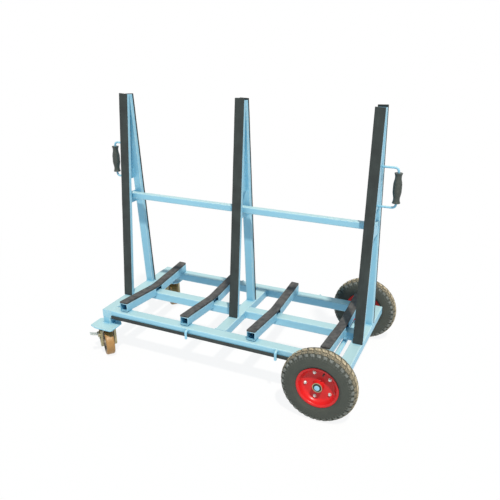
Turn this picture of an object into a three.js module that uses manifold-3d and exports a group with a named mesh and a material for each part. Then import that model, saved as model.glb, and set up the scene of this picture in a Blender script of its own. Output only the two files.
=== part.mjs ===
// Sheet goods cart: a low base with three leaning racks, V-shaped bed bars, two large
// wheels at the right end and two braked swivel casters at the left end.
// Millimetres. X runs along the cart, Y across it with the front at -Y, Z up from the floor.
import * as THREE from "three";
import { mergeVertices } from "three/addons/utils/BufferGeometryUtils.js";
import Module from "manifold-3d";

const wasm = await Module();
wasm.setup();

// Clearances
const fit = 0.3;
const turn = 0.5;

// Base frame of rectangular steel tube
const baseLength = 1536;
const baseWidth = 730;
const memberWidth = 65;
const memberHeight = 50;
const memberWall = 3;
const cornerRadius = 5;
const drainHole = 12;
const drainInset = 60;

// Large pneumatic wheels and their axle
const tyreDiameter = 400;
const tyreWidth = 98;
const tyreWall = 9;
const sectionSquareness = 0.75;
const rimDiameter = 224;
const rimWidth = 74;
const rimWall = 4;
const discInset = 33;
const discDiameter = 164;
const hubDiameter = 54;
const hubLength = 64;
const axleDiameter = 28;
const washerDiameter = 38;
const washerThickness = 4;
const wheelGap = 45;
const axleInset = 130;
const axleDrop = 30;
const bracketLength = 64;
const bracketRadius = 24;
const bracketWidth = 40;

// Racks: two leaning legs, a web plate between them and a rubber strip on each leg
const rackTop = 1507;
const leanAngle = 4.9;
const legWidth = 50;
const legDepth = 25;
const legWall = 2.5;
const legCorner = 4;
const apexGap = 1;
const stripThickness = 9;
const stripOverhang = 8;
const webBottom = 1003;
const webTopDrop = 45;
const webThickness = 5;
const webInset = 3;

// Rail through the racks, with a tie plate at each rack
const midRailSize = 36;
const midRailWall = 2.5;
const midRailTop = 923;
const tieThickness = 6;
const tieDrop = 34;
const ventHole = 14;

// V-shaped bed bars
const barWidth = 50;
const barHeight = 50;
const barWall = 3;
const barAngle = 5;
const barInset = 144;
const barEndInset = 20;
const barStripThickness = 12;

// Side bumpers and lashing hooks
const bumperHeight = 20;
const bumperThickness = 8;
const hookDiameter = 12;
const hookReach = 22;
const hookDrop = 8;
const hookLength = 48;
const hookSpan = 544;
const hookShift = 96;

// Carrying handles
const rodDiameter = 12;
const handleReach = 84;
const handleBend = 22;
const handleAboveWeb = 14;
const gripLength = 155;
const gripEndRadius = 20.5;
const gripNeckRadius = 16.5;
const gripBellyRadius = 22;
const gripEndGap = 3;

// Swivel casters
const carrierLength = 160;
const carrierWidth = 135;
const carrierThickness = 8;
const carrierCorner = 26;
const carrierEndOverhang = 52;
const carrierSideOverhang = 76;
const riserSize = 50;
const riserWall = 4;
const plateLength = 115;
const plateWidth = 100;
const plateThickness = 4;
const casterWheelDiameter = 150;
const casterWheelWidth = 50;
const treadThickness = 15;
const treadShoulder = 7;
const casterTrail = 20;
const casterTurn = -42;
const crownThickness = 7;
const crownClearance = 9;
const headDiameter = 66;
const headHeight = 12;
const forkDepth = 14;
const forkWall = 5;
const forkGap = 8;
const forkEndRadius = 20;
const boltDiameter = 12;
const boltHeadDiameter = 22;
const boltHeadHeight = 9;
const coreHubDiameter = 44;
const coreWeb = 24;
const coreFlange = 6;
const forkShoulder = 30;
const lugThickness = 4;
const pinStandOff = 6;
const pedalPinDiameter = 8;
const pedalPinDrop = 26;
const pedalReach = 52;
const pedalRise = 14;
const pedalThickness = 5;
const pedalWidth = 34;
const shoeLength = 26;

// Places that follow from the sizes
const axleHeight = tyreDiameter / 2;
const baseBottom = axleHeight + axleDrop;
const baseTop = baseBottom + memberHeight;
const endX = baseLength / 2;
const sideY = baseWidth / 2;
const leanSlope = Math.tan(THREE.MathUtils.degToRad(leanAngle));
const barSlope = Math.tan(THREE.MathUtils.degToRad(barAngle));
const wheelY = sideY + bumperThickness + wheelGap + tyreWidth / 2;
const axleX = endX - axleInset;
const crownTop = casterWheelDiameter + crownClearance + crownThickness;
const plateBottom = crownTop + headHeight + turn;
const carrierBottom = plateBottom + plateThickness;
const casterX = -(endX + carrierEndOverhang - carrierLength / 2);
const casterY = sideY + carrierSideOverhang - carrierWidth / 2;

const enamel = new THREE.MeshStandardMaterial({ color: "#8cc4de", roughness: 0.42, metalness: 0.1 });
const rubber = new THREE.MeshStandardMaterial({ color: "#3c4341", roughness: 0.85, metalness: 0 });
const bedRubber = new THREE.MeshStandardMaterial({ color: "#564f4d", roughness: 0.9, metalness: 0 });
const tyreRubber = new THREE.MeshStandardMaterial({ color: "#3a3d3a", roughness: 0.9, metalness: 0 });
const redEnamel = new THREE.MeshStandardMaterial({ color: "#dc2a2e", roughness: 0.35, metalness: 0.1 });
const steel = new THREE.MeshStandardMaterial({ color: "#a9b4b8", roughness: 0.4, metalness: 0.9 });
const zinc = new THREE.MeshStandardMaterial({ color: "#9b9474", roughness: 0.45, metalness: 0.8 });
const urethane = new THREE.MeshStandardMaterial({ color: "#b58a50", roughness: 0.5, metalness: 0 });
const castIron = new THREE.MeshStandardMaterial({ color: "#7c766c", roughness: 0.6, metalness: 0.6 });
const gripPlastic = new THREE.MeshStandardMaterial({ color: "#353a37", roughness: 0.6, metalness: 0 });

const cart = new THREE.Group();
cart.name = "sheet_goods_cart";

function add(name, geometry, material, parent = cart) {
  const mesh = new THREE.Mesh(geometry, material);
  mesh.name = name;
  parent.add(mesh);
  return mesh;
}

function toSolid(geometry) {
  const bare = geometry.clone();
  bare.deleteAttribute("normal");
  bare.deleteAttribute("uv");
  const merged = mergeVertices(bare, 1e-3);
  const mesh = new wasm.Mesh({
    numProp: 3,
    vertProperties: merged.attributes.position.array,
    triVerts: new Uint32Array(merged.index.array),
  });
  return new wasm.Manifold(mesh);
}

function toGeometry(solid) {
  const mesh = solid.getMesh();
  const geometry = new THREE.BufferGeometry();
  geometry.setAttribute("position", new THREE.BufferAttribute(mesh.vertProperties, 3));
  geometry.setIndex(new THREE.BufferAttribute(mesh.triVerts, 1));
  geometry.computeVertexNormals();
  return geometry;
}

function join(geometries) {
  return toGeometry(wasm.Manifold.union(geometries.map(toSolid)));
}

function cut(geometry, tools) {
  return toGeometry(toSolid(geometry).subtract(wasm.Manifold.union(tools.map(toSolid))));
}

function box(width, depth, height, x, y, z) {
  return new THREE.BoxGeometry(width, depth, height).translate(x, y, z);
}

function roundedRectangle(width, height, radius) {
  const x = width / 2 - radius;
  const y = height / 2 - radius;
  const shape = new THREE.Shape();
  shape.absarc(x, -y, radius, -Math.PI / 2, 0);
  shape.absarc(x, y, radius, 0, Math.PI / 2);
  shape.absarc(-x, y, radius, Math.PI / 2, Math.PI);
  shape.absarc(-x, -y, radius, Math.PI, Math.PI * 1.5);
  shape.closePath();
  return shape;
}

function extrude(shape, depth, steps = 1, curveSegments = 2) {
  const settings = { depth, steps, curveSegments, bevelEnabled: false };
  return new THREE.ExtrudeGeometry(shape, settings).translate(0, 0, -depth / 2);
}

// An open tube along Z, centred on the origin.
function tube(width, height, wall, radius, length, steps = 1) {
  const outline = roundedRectangle(width, height, radius);
  outline.holes.push(roundedRectangle(width - 2 * wall, height - 2 * wall, radius - wall / 2));
  return extrude(outline, length, steps);
}

// A shape drawn in Y and Z, extruded along X.
function alongX(geometry) {
  const turned = new THREE.Matrix4().makeBasis(
    new THREE.Vector3(0, 1, 0),
    new THREE.Vector3(0, 0, 1),
    new THREE.Vector3(1, 0, 0),
  );
  return geometry.applyMatrix4(turned);
}

// A shape drawn in X and Z, extruded along Y.
function alongY(geometry) {
  return geometry.rotateX(Math.PI / 2);
}

function rodAlong(path, diameter, steps) {
  const section = new THREE.Shape();
  section.absarc(0, 0, diameter / 2, 0, Math.PI * 2);
  return new THREE.ExtrudeGeometry(section, { steps, curveSegments: 5, extrudePath: path });
}

function bentPath(points, bend) {
  const path = new THREE.CurvePath();
  let start = points[0];
  for (let i = 1; i < points.length - 1; i += 1) {
    const corner = points[i];
    const before = corner.clone().add(start.clone().sub(corner).setLength(bend));
    const after = corner.clone().add(points[i + 1].clone().sub(corner).setLength(bend));
    path.add(new THREE.LineCurve3(start, before));
    path.add(new THREE.QuadraticBezierCurve3(before, corner, after));
    start = after;
  }
  path.add(new THREE.LineCurve3(start, points[points.length - 1]));
  return path;
}

function cylinder(diameter, length, segments = 32) {
  return new THREE.CylinderGeometry(diameter / 2, diameter / 2, length, segments);
}

// A ring turned about Y from corner points of radius and place, given counterclockwise.
// A flat of the outer face points down, so the ring stands still on the floor.
function ring(corners, segments) {
  const points = corners.map(([radius, place]) => new THREE.Vector2(radius, place));
  points.push(points[0].clone());
  return new THREE.LatheGeometry(points, segments).rotateY(Math.PI / segments);
}

// Base frame: capped end cross-members with drain holes, and open tubes between them.
function endCrossmember() {
  const inside = roundedRectangle(
    memberWidth - 2 * memberWall,
    memberHeight - 2 * memberWall,
    cornerRadius - memberWall / 2,
  );
  const bar = alongY(extrude(roundedRectangle(memberWidth, memberHeight, cornerRadius), baseWidth));
  const hollow = alongY(extrude(inside, baseWidth - 2 * memberWall));
  const drains = [-1, 1].map((side) => {
    const drill = cylinder(drainHole, memberHeight, 16).rotateX(Math.PI / 2);
    return drill.translate(0, side * (sideY - drainInset), -memberHeight / 2);
  });
  return cut(bar, [hollow, ...drains]);
}

function rail(length) {
  return tube(memberHeight, memberWidth, memberWall, cornerRadius, length).rotateY(Math.PI / 2);
}

const memberZ = baseTop - memberHeight / 2;
const endMemberX = endX - memberWidth / 2;
const railLength = baseLength - 2 * memberWidth;
const railY = sideY - memberWidth / 2;
const spanBetweenRails = baseWidth - 2 * memberWidth;
const centreTube = tube(memberWidth, memberHeight, memberWall, cornerRadius, spanBetweenRails);
add("left_end_crossmember", endCrossmember(), enamel).position.set(-endMemberX, 0, memberZ);
add("right_end_crossmember", endCrossmember(), enamel).position.set(endMemberX, 0, memberZ);
add("centre_crossmember", alongY(centreTube), enamel).position.set(0, 0, memberZ);
add("front_rail", rail(railLength), enamel).position.set(0, -railY, memberZ);
add("rear_rail", rail(railLength), enamel).position.set(0, railY, memberZ);
const bayLength = (railLength - memberWidth) / 2;
const bayX = (memberWidth + bayLength) / 2;
add("centre_rail_left", rail(bayLength), enamel).position.set(-bayX, 0, memberZ);
add("centre_rail_right", rail(bayLength), enamel).position.set(bayX, 0, memberZ);

// Side bumpers along the rails, and lashing hooks that hang over them.
for (const [name, side] of [["front", -1], ["rear", 1]]) {
  const bumperY = side * (sideY + bumperThickness / 2);
  const bumper = new THREE.BoxGeometry(railLength, bumperThickness, bumperHeight);
  add(`${name}_bumper`, bumper, rubber).position.set(0, bumperY, baseBottom + bumperHeight / 2);
  const hookZ = baseTop - hookDrop;
  const hookPoints = [
    new THREE.Vector3(0, side * (sideY + fit), hookZ),
    new THREE.Vector3(0, side * (sideY + hookReach), hookZ),
    new THREE.Vector3(0, side * (sideY + hookReach), hookZ - hookLength),
  ];
  for (const [place, x] of [["left", hookShift - hookSpan / 2], ["right", hookShift + hookSpan / 2]]) {
    const hook = rodAlong(bentPath(hookPoints, hookDiameter), hookDiameter, 12);
    add(`${name}_${place}_hook`, hook, enamel).position.x = x;
  }
}

// Racks: the legs lean in to meet at the top. A shear leans a piece and keeps its ends level.
function leanIn(geometry, side) {
  const shear = new THREE.Matrix4().set(
    1, 0, 0, 0,
    0, 1, -side * leanSlope, side * leanSlope * rackTop,
    0, 0, 1, 0,
    0, 0, 0, 1,
  );
  return geometry.applyMatrix4(shear);
}

// Half of the gap between a rack's legs at a height.
function halfGap(z) {
  return apexGap / 2 + (rackTop - z) * leanSlope;
}

// A plate that fills the gap between a rack's legs, drawn in Y and Z.
function gapPlate(bottom, top, thickness) {
  const low = halfGap(bottom) - fit;
  const high = halfGap(top) - fit;
  const outline = new THREE.Shape();
  outline.moveTo(-low, bottom);
  outline.lineTo(low, bottom);
  outline.lineTo(high, top);
  outline.lineTo(-high, top);
  outline.closePath();
  return alongX(extrude(outline, thickness));
}

const rackX = endX - legWidth / 2;
const plateX = endX - webInset - webThickness / 2;
const racks = [
  ["left", -rackX, -plateX],
  ["centre", 0, 0],
  ["right", rackX, plateX],
];
const legLength = rackTop - baseTop;
const stripLength = legLength + stripOverhang;
const legY = (apexGap + legDepth) / 2;
const stripY = apexGap / 2 + legDepth + fit + stripThickness / 2;
for (const [name, x, webX] of racks) {
  for (const [face, side] of [["front", -1], ["rear", 1]]) {
    const leg = tube(legWidth, legDepth, legWall, legCorner, legLength);
    leg.translate(0, side * legY, baseTop + legLength / 2);
    add(`${name}_rack_${face}_leg`, leanIn(leg, side), enamel).position.x = x;
    const strip = box(legWidth, stripThickness, stripLength, 0, side * stripY, baseTop + stripLength / 2);
    add(`${name}_rack_${face}_strip`, leanIn(strip, side), rubber).position.x = x;
  }
  const web = gapPlate(webBottom, rackTop - webTopDrop, webThickness);
  add(`${name}_rack_web`, web, enamel).position.x = webX;
}

// Rail through the racks. Its tie plates fill the gaps between the legs.
const midRailBottom = midRailTop - midRailSize;
const tieX = endX - webInset - tieThickness / 2;
const midRailLength = 2 * tieX;
const midRailTube = tube(midRailSize, midRailSize, midRailWall, legCorner, midRailLength);
midRailTube.rotateY(Math.PI / 2).translate(0, 0, midRailTop - midRailSize / 2);
const tieBottom = midRailBottom - tieDrop;
const ties = [
  midRailTube,
  gapPlate(tieBottom, midRailTop, tieThickness).translate(-tieX, 0, 0),
  gapPlate(tieBottom, midRailBottom + midRailWall / 2, tieThickness),
  gapPlate(tieBottom, midRailTop, tieThickness).translate(tieX, 0, 0),
];
const vents = [-1, 1].map((end) => {
  const drill = cylinder(ventHole, 2 * tieThickness, 16).rotateZ(Math.PI / 2);
  return drill.translate(end * tieX, 0, midRailTop - midRailSize / 2);
});
add("mid_rail", cut(join(ties), vents), enamel);

// Bed bars: tubes bent down in the middle, resting on the inner edges of the side rails and
// cut away over the centre rail up to their top wall, with a rubber strip on top.
function kink(geometry) {
  const places = geometry.attributes.position;
  for (let i = 0; i < places.count; i += 1) {
    places.setZ(i, places.getZ(i) + Math.abs(places.getY(i)) * barSlope);
  }
  geometry.computeVertexNormals();
  return geometry;
}

const barLength = baseWidth - 2 * barEndInset;
const barBottom = baseTop + fit - (sideY - memberWidth) * barSlope;
const barTop = barBottom + barHeight;
const notchTop = barTop - barWall;
const notch = box(2 * barWidth, memberWidth + 2 * fit, barHeight, 0, 0, notchTop - barHeight / 2);
const outerBarX = endX - barInset;
const barPlaces = [-1, -1 / 3, 1 / 3, 1].map((share) => share * outerBarX);
barPlaces.forEach((x, i) => {
  const straight = alongY(tube(barWidth, barHeight, barWall, legCorner, barLength, 2));
  const bar = kink(straight.translate(0, 0, barBottom + barHeight / 2));
  add(`bed_bar_${i + 1}`, cut(bar, [notch]), enamel).position.x = x;
  const flat = new THREE.BoxGeometry(barWidth, barLength, barStripThickness, 1, 2, 1);
  const strip = kink(flat.translate(0, 0, barTop + fit + barStripThickness / 2));
  add(`bed_bar_${i + 1}_strip`, strip, bedRubber).position.x = x;
});

// Handles: a bent rod on the end webs, with a turned grip on its upright part.
const handleX = endX + handleReach;
const rodLow = webBottom + handleAboveWeb;
const rodHigh = rodLow + gripLength + 2 * (handleBend + gripEndGap);
const gripZ = (rodLow + rodHigh) / 2;
const boreRadius = rodDiameter / 2 + turn;
const gripHalf = gripLength / 2;
const gripLands = [
  [gripEndRadius, 1],
  [gripEndRadius, 0.93],
  [gripNeckRadius + 1, 0.84],
  [gripNeckRadius, 0.7],
  [gripNeckRadius + 1, 0.56],
  [gripBellyRadius - 1, 0.4],
  [gripBellyRadius, 0.2],
];
const gripCorners = [
  [boreRadius, -gripHalf],
  ...gripLands.map(([radius, share]) => [radius, -share * gripHalf]),
  ...gripLands.toReversed().map(([radius, share]) => [radius, share * gripHalf]),
  [boreRadius, gripHalf],
];
for (const [name, end] of [["left", -1], ["right", 1]]) {
  const rodStart = end * (endX - webInset + fit);
  const rodPoints = [
    new THREE.Vector3(rodStart, 0, rodHigh),
    new THREE.Vector3(end * handleX, 0, rodHigh),
    new THREE.Vector3(end * handleX, 0, rodLow),
    new THREE.Vector3(rodStart, 0, rodLow),
  ];
  add(`${name}_handle_rod`, rodAlong(bentPath(rodPoints, handleBend), rodDiameter, 40), enamel);
  const grip = ring(gripCorners, 24).rotateX(Math.PI / 2);
  add(`${name}_handle_grip`, grip, gripPlastic).position.set(end * handleX, 0, gripZ);
}

// Axle: a bracket under each side rail, and a shaft through both that carries a collar inside
// and a washer outside each wheel.
const bracketOutline = new THREE.Shape();
bracketOutline.moveTo(-bracketLength / 2, axleDrop);
bracketOutline.absarc(0, 0, bracketRadius, Math.PI, Math.PI * 2);
bracketOutline.lineTo(bracketLength / 2, axleDrop);
bracketOutline.closePath();
for (const [name, side] of [["front", -1], ["rear", 1]]) {
  const block = alongY(extrude(bracketOutline, bracketWidth, 1, 8));
  const bracket = cut(block, [cylinder(axleDiameter + 2 * fit, 2 * bracketWidth)]);
  add(`${name}_axle_bracket`, bracket, enamel).position.set(axleX, side * railY, axleHeight);
}

const hubInner = wheelY - hubLength / 2;
const hubOuter = wheelY + hubLength / 2;
const shaft = [cylinder(axleDiameter, 2 * (hubOuter + turn + washerThickness))];
for (const side of [-1, 1]) {
  const washer = cylinder(washerDiameter, washerThickness);
  shaft.push(washer.clone().translate(0, side * (hubOuter + turn + washerThickness / 2), 0));
  shaft.push(washer.translate(0, side * (hubInner - turn - washerThickness / 2), 0));
}
add("axle", join(shaft), enamel).position.set(axleX, 0, axleHeight);

// Large wheels: a hollow tyre on a rim whose disc is dished towards the middle of the wheel.
const wheelSides = 48;
const treadRadius = tyreDiameter / 2 / Math.cos(Math.PI / wheelSides);
const rimRadius = rimDiameter / 2;
const seatRadius = rimRadius - 2 * rimWall;
const tyreHalf = tyreWidth / 2;
const beadHalf = rimWidth / 2 - rimWall - fit;
const beadRadius = seatRadius + fit;
const sectionMiddle = (treadRadius + rimRadius + fit) / 2;
const sectionHeight = treadRadius - rimRadius - fit;

// Half of the tyre's round section, from the bead at +Y over the tread to the bead at -Y.
function tyreSide(inset, steps) {
  const points = [];
  for (let i = 0; i <= steps; i += 1) {
    const angle = (Math.PI * i) / steps;
    const across = Math.sign(Math.cos(angle)) * Math.abs(Math.cos(angle)) ** sectionSquareness;
    const out = Math.sin(angle) ** sectionSquareness;
    const radius = sectionMiddle - sectionHeight / 2 + (sectionHeight - inset) * out;
    points.push([radius, (tyreHalf - inset) * across]);
  }
  return points;
}

const tyreCorners = [
  [beadRadius, -beadHalf],
  [rimRadius + fit, -beadHalf],
  ...tyreSide(0, 14).slice(1, -1).toReversed(),
  [rimRadius + fit, beadHalf],
  [beadRadius, beadHalf],
  [beadRadius, beadHalf - tyreWall],
  ...tyreSide(tyreWall, 8).slice(1, -1),
  [beadRadius, -beadHalf + tyreWall],
];
const rimHalf = rimWidth / 2;
const hubHalf = hubLength / 2;
const hubRadius = hubDiameter / 2;
const discRadius = discDiameter / 2;
const discFace = rimHalf - discInset;
const barrelRadius = seatRadius - rimWall;
const rimCorners = [
  [axleDiameter / 2 + turn, -hubHalf],
  [hubRadius, -hubHalf],
  [hubRadius, discFace - rimWall],
  [discRadius, discFace - rimWall],
  [barrelRadius, discFace + 2 * rimWall],
  [barrelRadius, -rimHalf],
  [rimRadius, -rimHalf],
  [rimRadius, -rimHalf + rimWall],
  [seatRadius, -rimHalf + rimWall],
  [seatRadius, rimHalf - rimWall],
  [rimRadius, rimHalf - rimWall],
  [rimRadius, rimHalf],
  [barrelRadius, rimHalf],
  [discRadius, discFace],
  [hubRadius, discFace],
  [hubRadius, hubHalf],
  [axleDiameter / 2 + turn, hubHalf],
];
for (const [name, side] of [["front", -1], ["rear", 1]]) {
  const wheel = new THREE.Group();
  wheel.position.set(axleX, side * wheelY, axleHeight);
  wheel.rotation.z = side < 0 ? Math.PI : 0;
  cart.add(wheel);
  add(`${name}_wheel_tyre`, ring(tyreCorners, wheelSides), tyreRubber, wheel);
  add(`${name}_wheel_rim`, ring(rimCorners, wheelSides), redEnamel, wheel);
}

// Casters: a riser and carrier plate under each left corner, then the bought-in caster.
const riserBottom = carrierBottom + carrierThickness;
const riserHeight = baseBottom - riserBottom;
const casterRadius = casterWheelDiameter / 2;
const casterSides = 40;
const casterTreadRadius = casterRadius / Math.cos(Math.PI / casterSides);
const coreRadius = casterRadius - treadThickness;
const casterHalf = casterWheelWidth / 2;
const forkInner = casterHalf + forkGap;
const forkOuter = forkInner + forkDepth;
const crownBottom = crownTop - crownThickness;
const headRadius = headDiameter / 2;
const pedalX = casterTrail / 3;
const pinY = -(forkOuter + pinStandOff);
const pinZ = crownBottom - pedalPinDrop;
const lugX = pedalWidth / 2 + turn + lugThickness / 2;
const pinLength = pedalWidth + 2 * (turn + lugThickness);

// A cheek of the fork, drawn in X and Z and drawn in by an inset.
function forkOutline(inset) {
  const reach = headRadius - inset;
  const outline = new THREE.Shape();
  outline.moveTo(-reach, crownTop - inset);
  outline.lineTo(-reach, crownTop - forkShoulder);
  outline.absarc(casterTrail, casterRadius, forkEndRadius - inset, Math.PI * 1.12, Math.PI * 2.1);
  outline.lineTo(reach, crownTop - forkShoulder);
  outline.lineTo(reach, crownTop - inset);
  outline.closePath();
  return outline;
}

function pedalPin(diameter, length) {
  return cylinder(diameter, length, 20).rotateZ(Math.PI / 2).translate(pedalX, pinY, pinZ);
}

// The cheeks are pressed plates with their edges turned out.
function casterFork() {
  const cheek = alongY(extrude(forkOutline(0), forkDepth, 1, 8));
  const pocket = alongY(extrude(forkOutline(forkWall), forkDepth, 1, 8));
  const crown = box(headDiameter, 2 * forkOuter, crownThickness, 0, 0, crownTop - crownThickness / 2);
  const head = cylinder(headDiameter, headHeight, 40).rotateX(Math.PI / 2);
  head.translate(0, 0, crownTop + headHeight / 2);
  const cheeks = [crown, head];
  const pockets = [];
  const fittings = [];
  const plateY = forkInner + forkWall;
  const lugDepth = forkOuter + pinStandOff + pedalPinDiameter - forkInner - forkWall / 2;
  const lugY = -(forkInner + forkWall / 2 + lugDepth / 2);
  for (const side of [-1, 1]) {
    cheeks.push(cheek.clone().translate(0, side * (forkInner + forkDepth / 2), 0));
    pockets.push(pocket.clone().translate(0, side * (plateY + forkDepth / 2), 0));
    const boltHead = cylinder(boltHeadDiameter, boltHeadHeight, 6);
    fittings.push(boltHead.translate(casterTrail, side * (plateY + boltHeadHeight / 2), casterRadius));
    fittings.push(box(lugThickness, lugDepth, 2 * pedalPinDiameter, pedalX + side * lugX, lugY, pinZ));
  }
  fittings.push(cylinder(boltDiameter, 2 * plateY, 24).translate(casterTrail, 0, casterRadius));
  const pressed = cut(join(cheeks), pockets);
  return cut(join([pressed, ...fittings]), [pedalPin(pedalPinDiameter + 2 * turn, 2 * pinLength)]);
}

// The brake pedal stands out of the fork's side, with a shoe that hangs beside the cheek.
function casterPedal() {
  const half = pedalThickness / 2;
  const lever = new THREE.Shape();
  lever.moveTo(pinY - pedalReach, pinZ + pedalRise - half);
  lever.lineTo(pinY - half, pinZ - half);
  lever.lineTo(pinY - half, pinZ - shoeLength);
  lever.lineTo(pinY + half, pinZ - shoeLength);
  lever.lineTo(pinY + half, pinZ + half);
  lever.lineTo(pinY - pedalReach, pinZ + pedalRise + half);
  lever.closePath();
  const plate = alongX(extrude(lever, pedalWidth)).translate(pedalX, 0, 0);
  return join([plate, pedalPin(pedalPinDiameter, pinLength)]);
}

const treadEdge = casterTreadRadius - treadShoulder / 2;
const treadCorners = [
  [coreRadius + fit, -casterHalf],
  [treadEdge, -casterHalf],
  [casterTreadRadius, -casterHalf + treadShoulder],
  [casterTreadRadius, casterHalf - treadShoulder],
  [treadEdge, casterHalf],
  [coreRadius + fit, casterHalf],
];
const coreBore = boltDiameter / 2 + turn;
const coreHub = coreHubDiameter / 2;
const coreHalf = casterHalf + forkGap - turn;
const flangeRadius = coreRadius - coreFlange;
const coreCorners = [
  [coreBore, -coreHalf],
  [coreHub, -coreHalf],
  [coreHub, -coreWeb / 2],
  [flangeRadius, -coreWeb / 2],
  [flangeRadius, -casterHalf],
  [coreRadius, -casterHalf],
  [coreRadius, casterHalf],
  [flangeRadius, casterHalf],
  [flangeRadius, coreWeb / 2],
  [coreHub, coreWeb / 2],
  [coreHub, coreHalf],
  [coreBore, coreHalf],
];

const carrierOutline = new THREE.Shape();
const carrierX = carrierLength / 2;
const carrierY = carrierWidth / 2;
carrierOutline.moveTo(-carrierX, carrierCorner - carrierY);
carrierOutline.lineTo(carrierCorner - carrierX, -carrierY);
carrierOutline.lineTo(carrierX - carrierCorner, -carrierY);
carrierOutline.lineTo(carrierX, carrierCorner - carrierY);
carrierOutline.lineTo(carrierX, carrierY - carrierCorner);
carrierOutline.lineTo(carrierX - carrierCorner, carrierY);
carrierOutline.lineTo(carrierCorner - carrierX, carrierY);
carrierOutline.lineTo(-carrierX, carrierY - carrierCorner);
carrierOutline.closePath();

for (const [name, side] of [["front", -1], ["rear", 1]]) {
  const mounted = new THREE.Group();
  mounted.position.set(casterX, side * casterY, 0);
  cart.add(mounted);
  const riser = tube(riserSize, riserSize, riserWall, cornerRadius, riserHeight + riserWall);
  const riserX = -endX + riserSize / 2 - casterX;
  const riserY = side * (sideY - riserSize / 2 - casterY);
  riser.translate(riserX, riserY, baseBottom - (riserHeight + riserWall) / 2);
  const carrier = extrude(carrierOutline, carrierThickness);
  carrier.translate(0, 0, riserBottom - carrierThickness / 2);
  add(`${name}_caster_mount`, join([riser, carrier]), enamel, mounted);
  const plate = box(plateLength, plateWidth, plateThickness, 0, 0, carrierBottom - plateThickness / 2);
  add(`${name}_caster_plate`, plate, zinc, mounted);
  const swivel = new THREE.Group();
  swivel.rotation.z = THREE.MathUtils.degToRad(casterTurn);
  mounted.add(swivel);
  add(`${name}_caster_fork`, casterFork(), zinc, swivel);
  add(`${name}_caster_pedal`, casterPedal(), steel, swivel);
  const tread = ring(treadCorners, casterSides).translate(casterTrail, 0, casterRadius);
  add(`${name}_caster_tread`, tread, urethane, swivel);
  const core = ring(coreCorners, casterSides).translate(casterTrail, 0, casterRadius);
  add(`${name}_caster_core`, core, castIron, swivel);
}

export default cart;
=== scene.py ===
from math import atan2, ceil, copysign, cos, exp, hypot, pi, radians, sin, tan

import bmesh
import bpy
from mathutils import Matrix, Vector


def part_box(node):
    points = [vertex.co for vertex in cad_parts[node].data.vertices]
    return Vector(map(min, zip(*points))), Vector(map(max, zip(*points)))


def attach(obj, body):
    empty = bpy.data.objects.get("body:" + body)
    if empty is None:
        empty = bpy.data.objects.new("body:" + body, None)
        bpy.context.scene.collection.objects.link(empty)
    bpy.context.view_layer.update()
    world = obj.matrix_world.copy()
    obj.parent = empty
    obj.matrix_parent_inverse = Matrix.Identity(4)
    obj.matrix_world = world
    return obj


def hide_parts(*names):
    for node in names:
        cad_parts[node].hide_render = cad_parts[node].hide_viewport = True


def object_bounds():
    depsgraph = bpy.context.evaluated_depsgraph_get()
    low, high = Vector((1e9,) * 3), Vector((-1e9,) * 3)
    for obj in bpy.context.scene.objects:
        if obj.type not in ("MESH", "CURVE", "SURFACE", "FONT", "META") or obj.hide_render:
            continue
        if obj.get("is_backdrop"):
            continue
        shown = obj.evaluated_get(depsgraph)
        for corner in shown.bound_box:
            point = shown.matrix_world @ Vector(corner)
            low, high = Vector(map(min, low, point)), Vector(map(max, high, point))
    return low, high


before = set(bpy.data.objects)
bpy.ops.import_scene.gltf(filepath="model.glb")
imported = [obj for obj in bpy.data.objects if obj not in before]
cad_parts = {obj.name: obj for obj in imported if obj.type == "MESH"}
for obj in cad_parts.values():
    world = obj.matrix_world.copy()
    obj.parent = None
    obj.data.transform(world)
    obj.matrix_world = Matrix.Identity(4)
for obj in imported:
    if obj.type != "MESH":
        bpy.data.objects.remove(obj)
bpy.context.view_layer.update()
scene = bpy.context.scene
sides = (("front", -1), ("rear", 1))  # names and directions along Y
ends = (("left", -1), ("right", 1))  # names and directions along X
racks = ("left", "centre", "right")
print("frame loaded:", len(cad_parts), "nodes")


# small tools for materials
def linear(hexColour):
    parts = [int(hexColour[i:i + 2], 16) / 255 for i in (1, 3, 5)]
    return [p / 12.92 if p <= 0.04045 else ((p + 0.055) / 1.055) ** 2.4 for p in parts] + [1.0]


def perMm(size):  # pattern scale for a feature of that size
    return 1000 / size


# Inputs go by name or by number. Map Range: 1 and 2 are the range it reads, 3 and 4 what it gives.
# Mix: 0 is the share, 6 and 7 are the colours, and output 2 is the colour.
def addNode(tree, kind, inputs=None, **settings):
    node = tree.nodes.new(kind)
    for name, value in settings.items():
        setattr(node, name, value)
    for key, value in (inputs or {}).items():
        if isinstance(value, bpy.types.NodeSocket):
            tree.links.new(value, node.inputs[key])
        else:
            node.inputs[key].default_value = value
    return node


def startMaterial(name):
    material = bpy.data.materials.new(name)
    material.use_nodes = True
    tree = material.node_tree
    tree.nodes.clear()
    place = addNode(tree, "ShaderNodeTexCoord").outputs["Object"]
    return material, tree, place


def cloudedColour(tree, place, look):  # clouds of one tone in another
    cloud = addNode(tree, "ShaderNodeTexNoise", {
        "Vector": place, "Scale": perMm(look["cloudMm"]), "Detail": look["detail"]})
    share = cloud.outputs[0]
    if "spread" in look:
        low, high = look["spread"]
        share = addNode(tree, "ShaderNodeMapRange", {0: share, 1: low, 2: high}).outputs[0]
    first, second = look["tones"]
    colour = addNode(tree, "ShaderNodeMix", {0: share, 6: linear(first), 7: linear(second)},
                     data_type="RGBA")
    return cloud, colour


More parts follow.
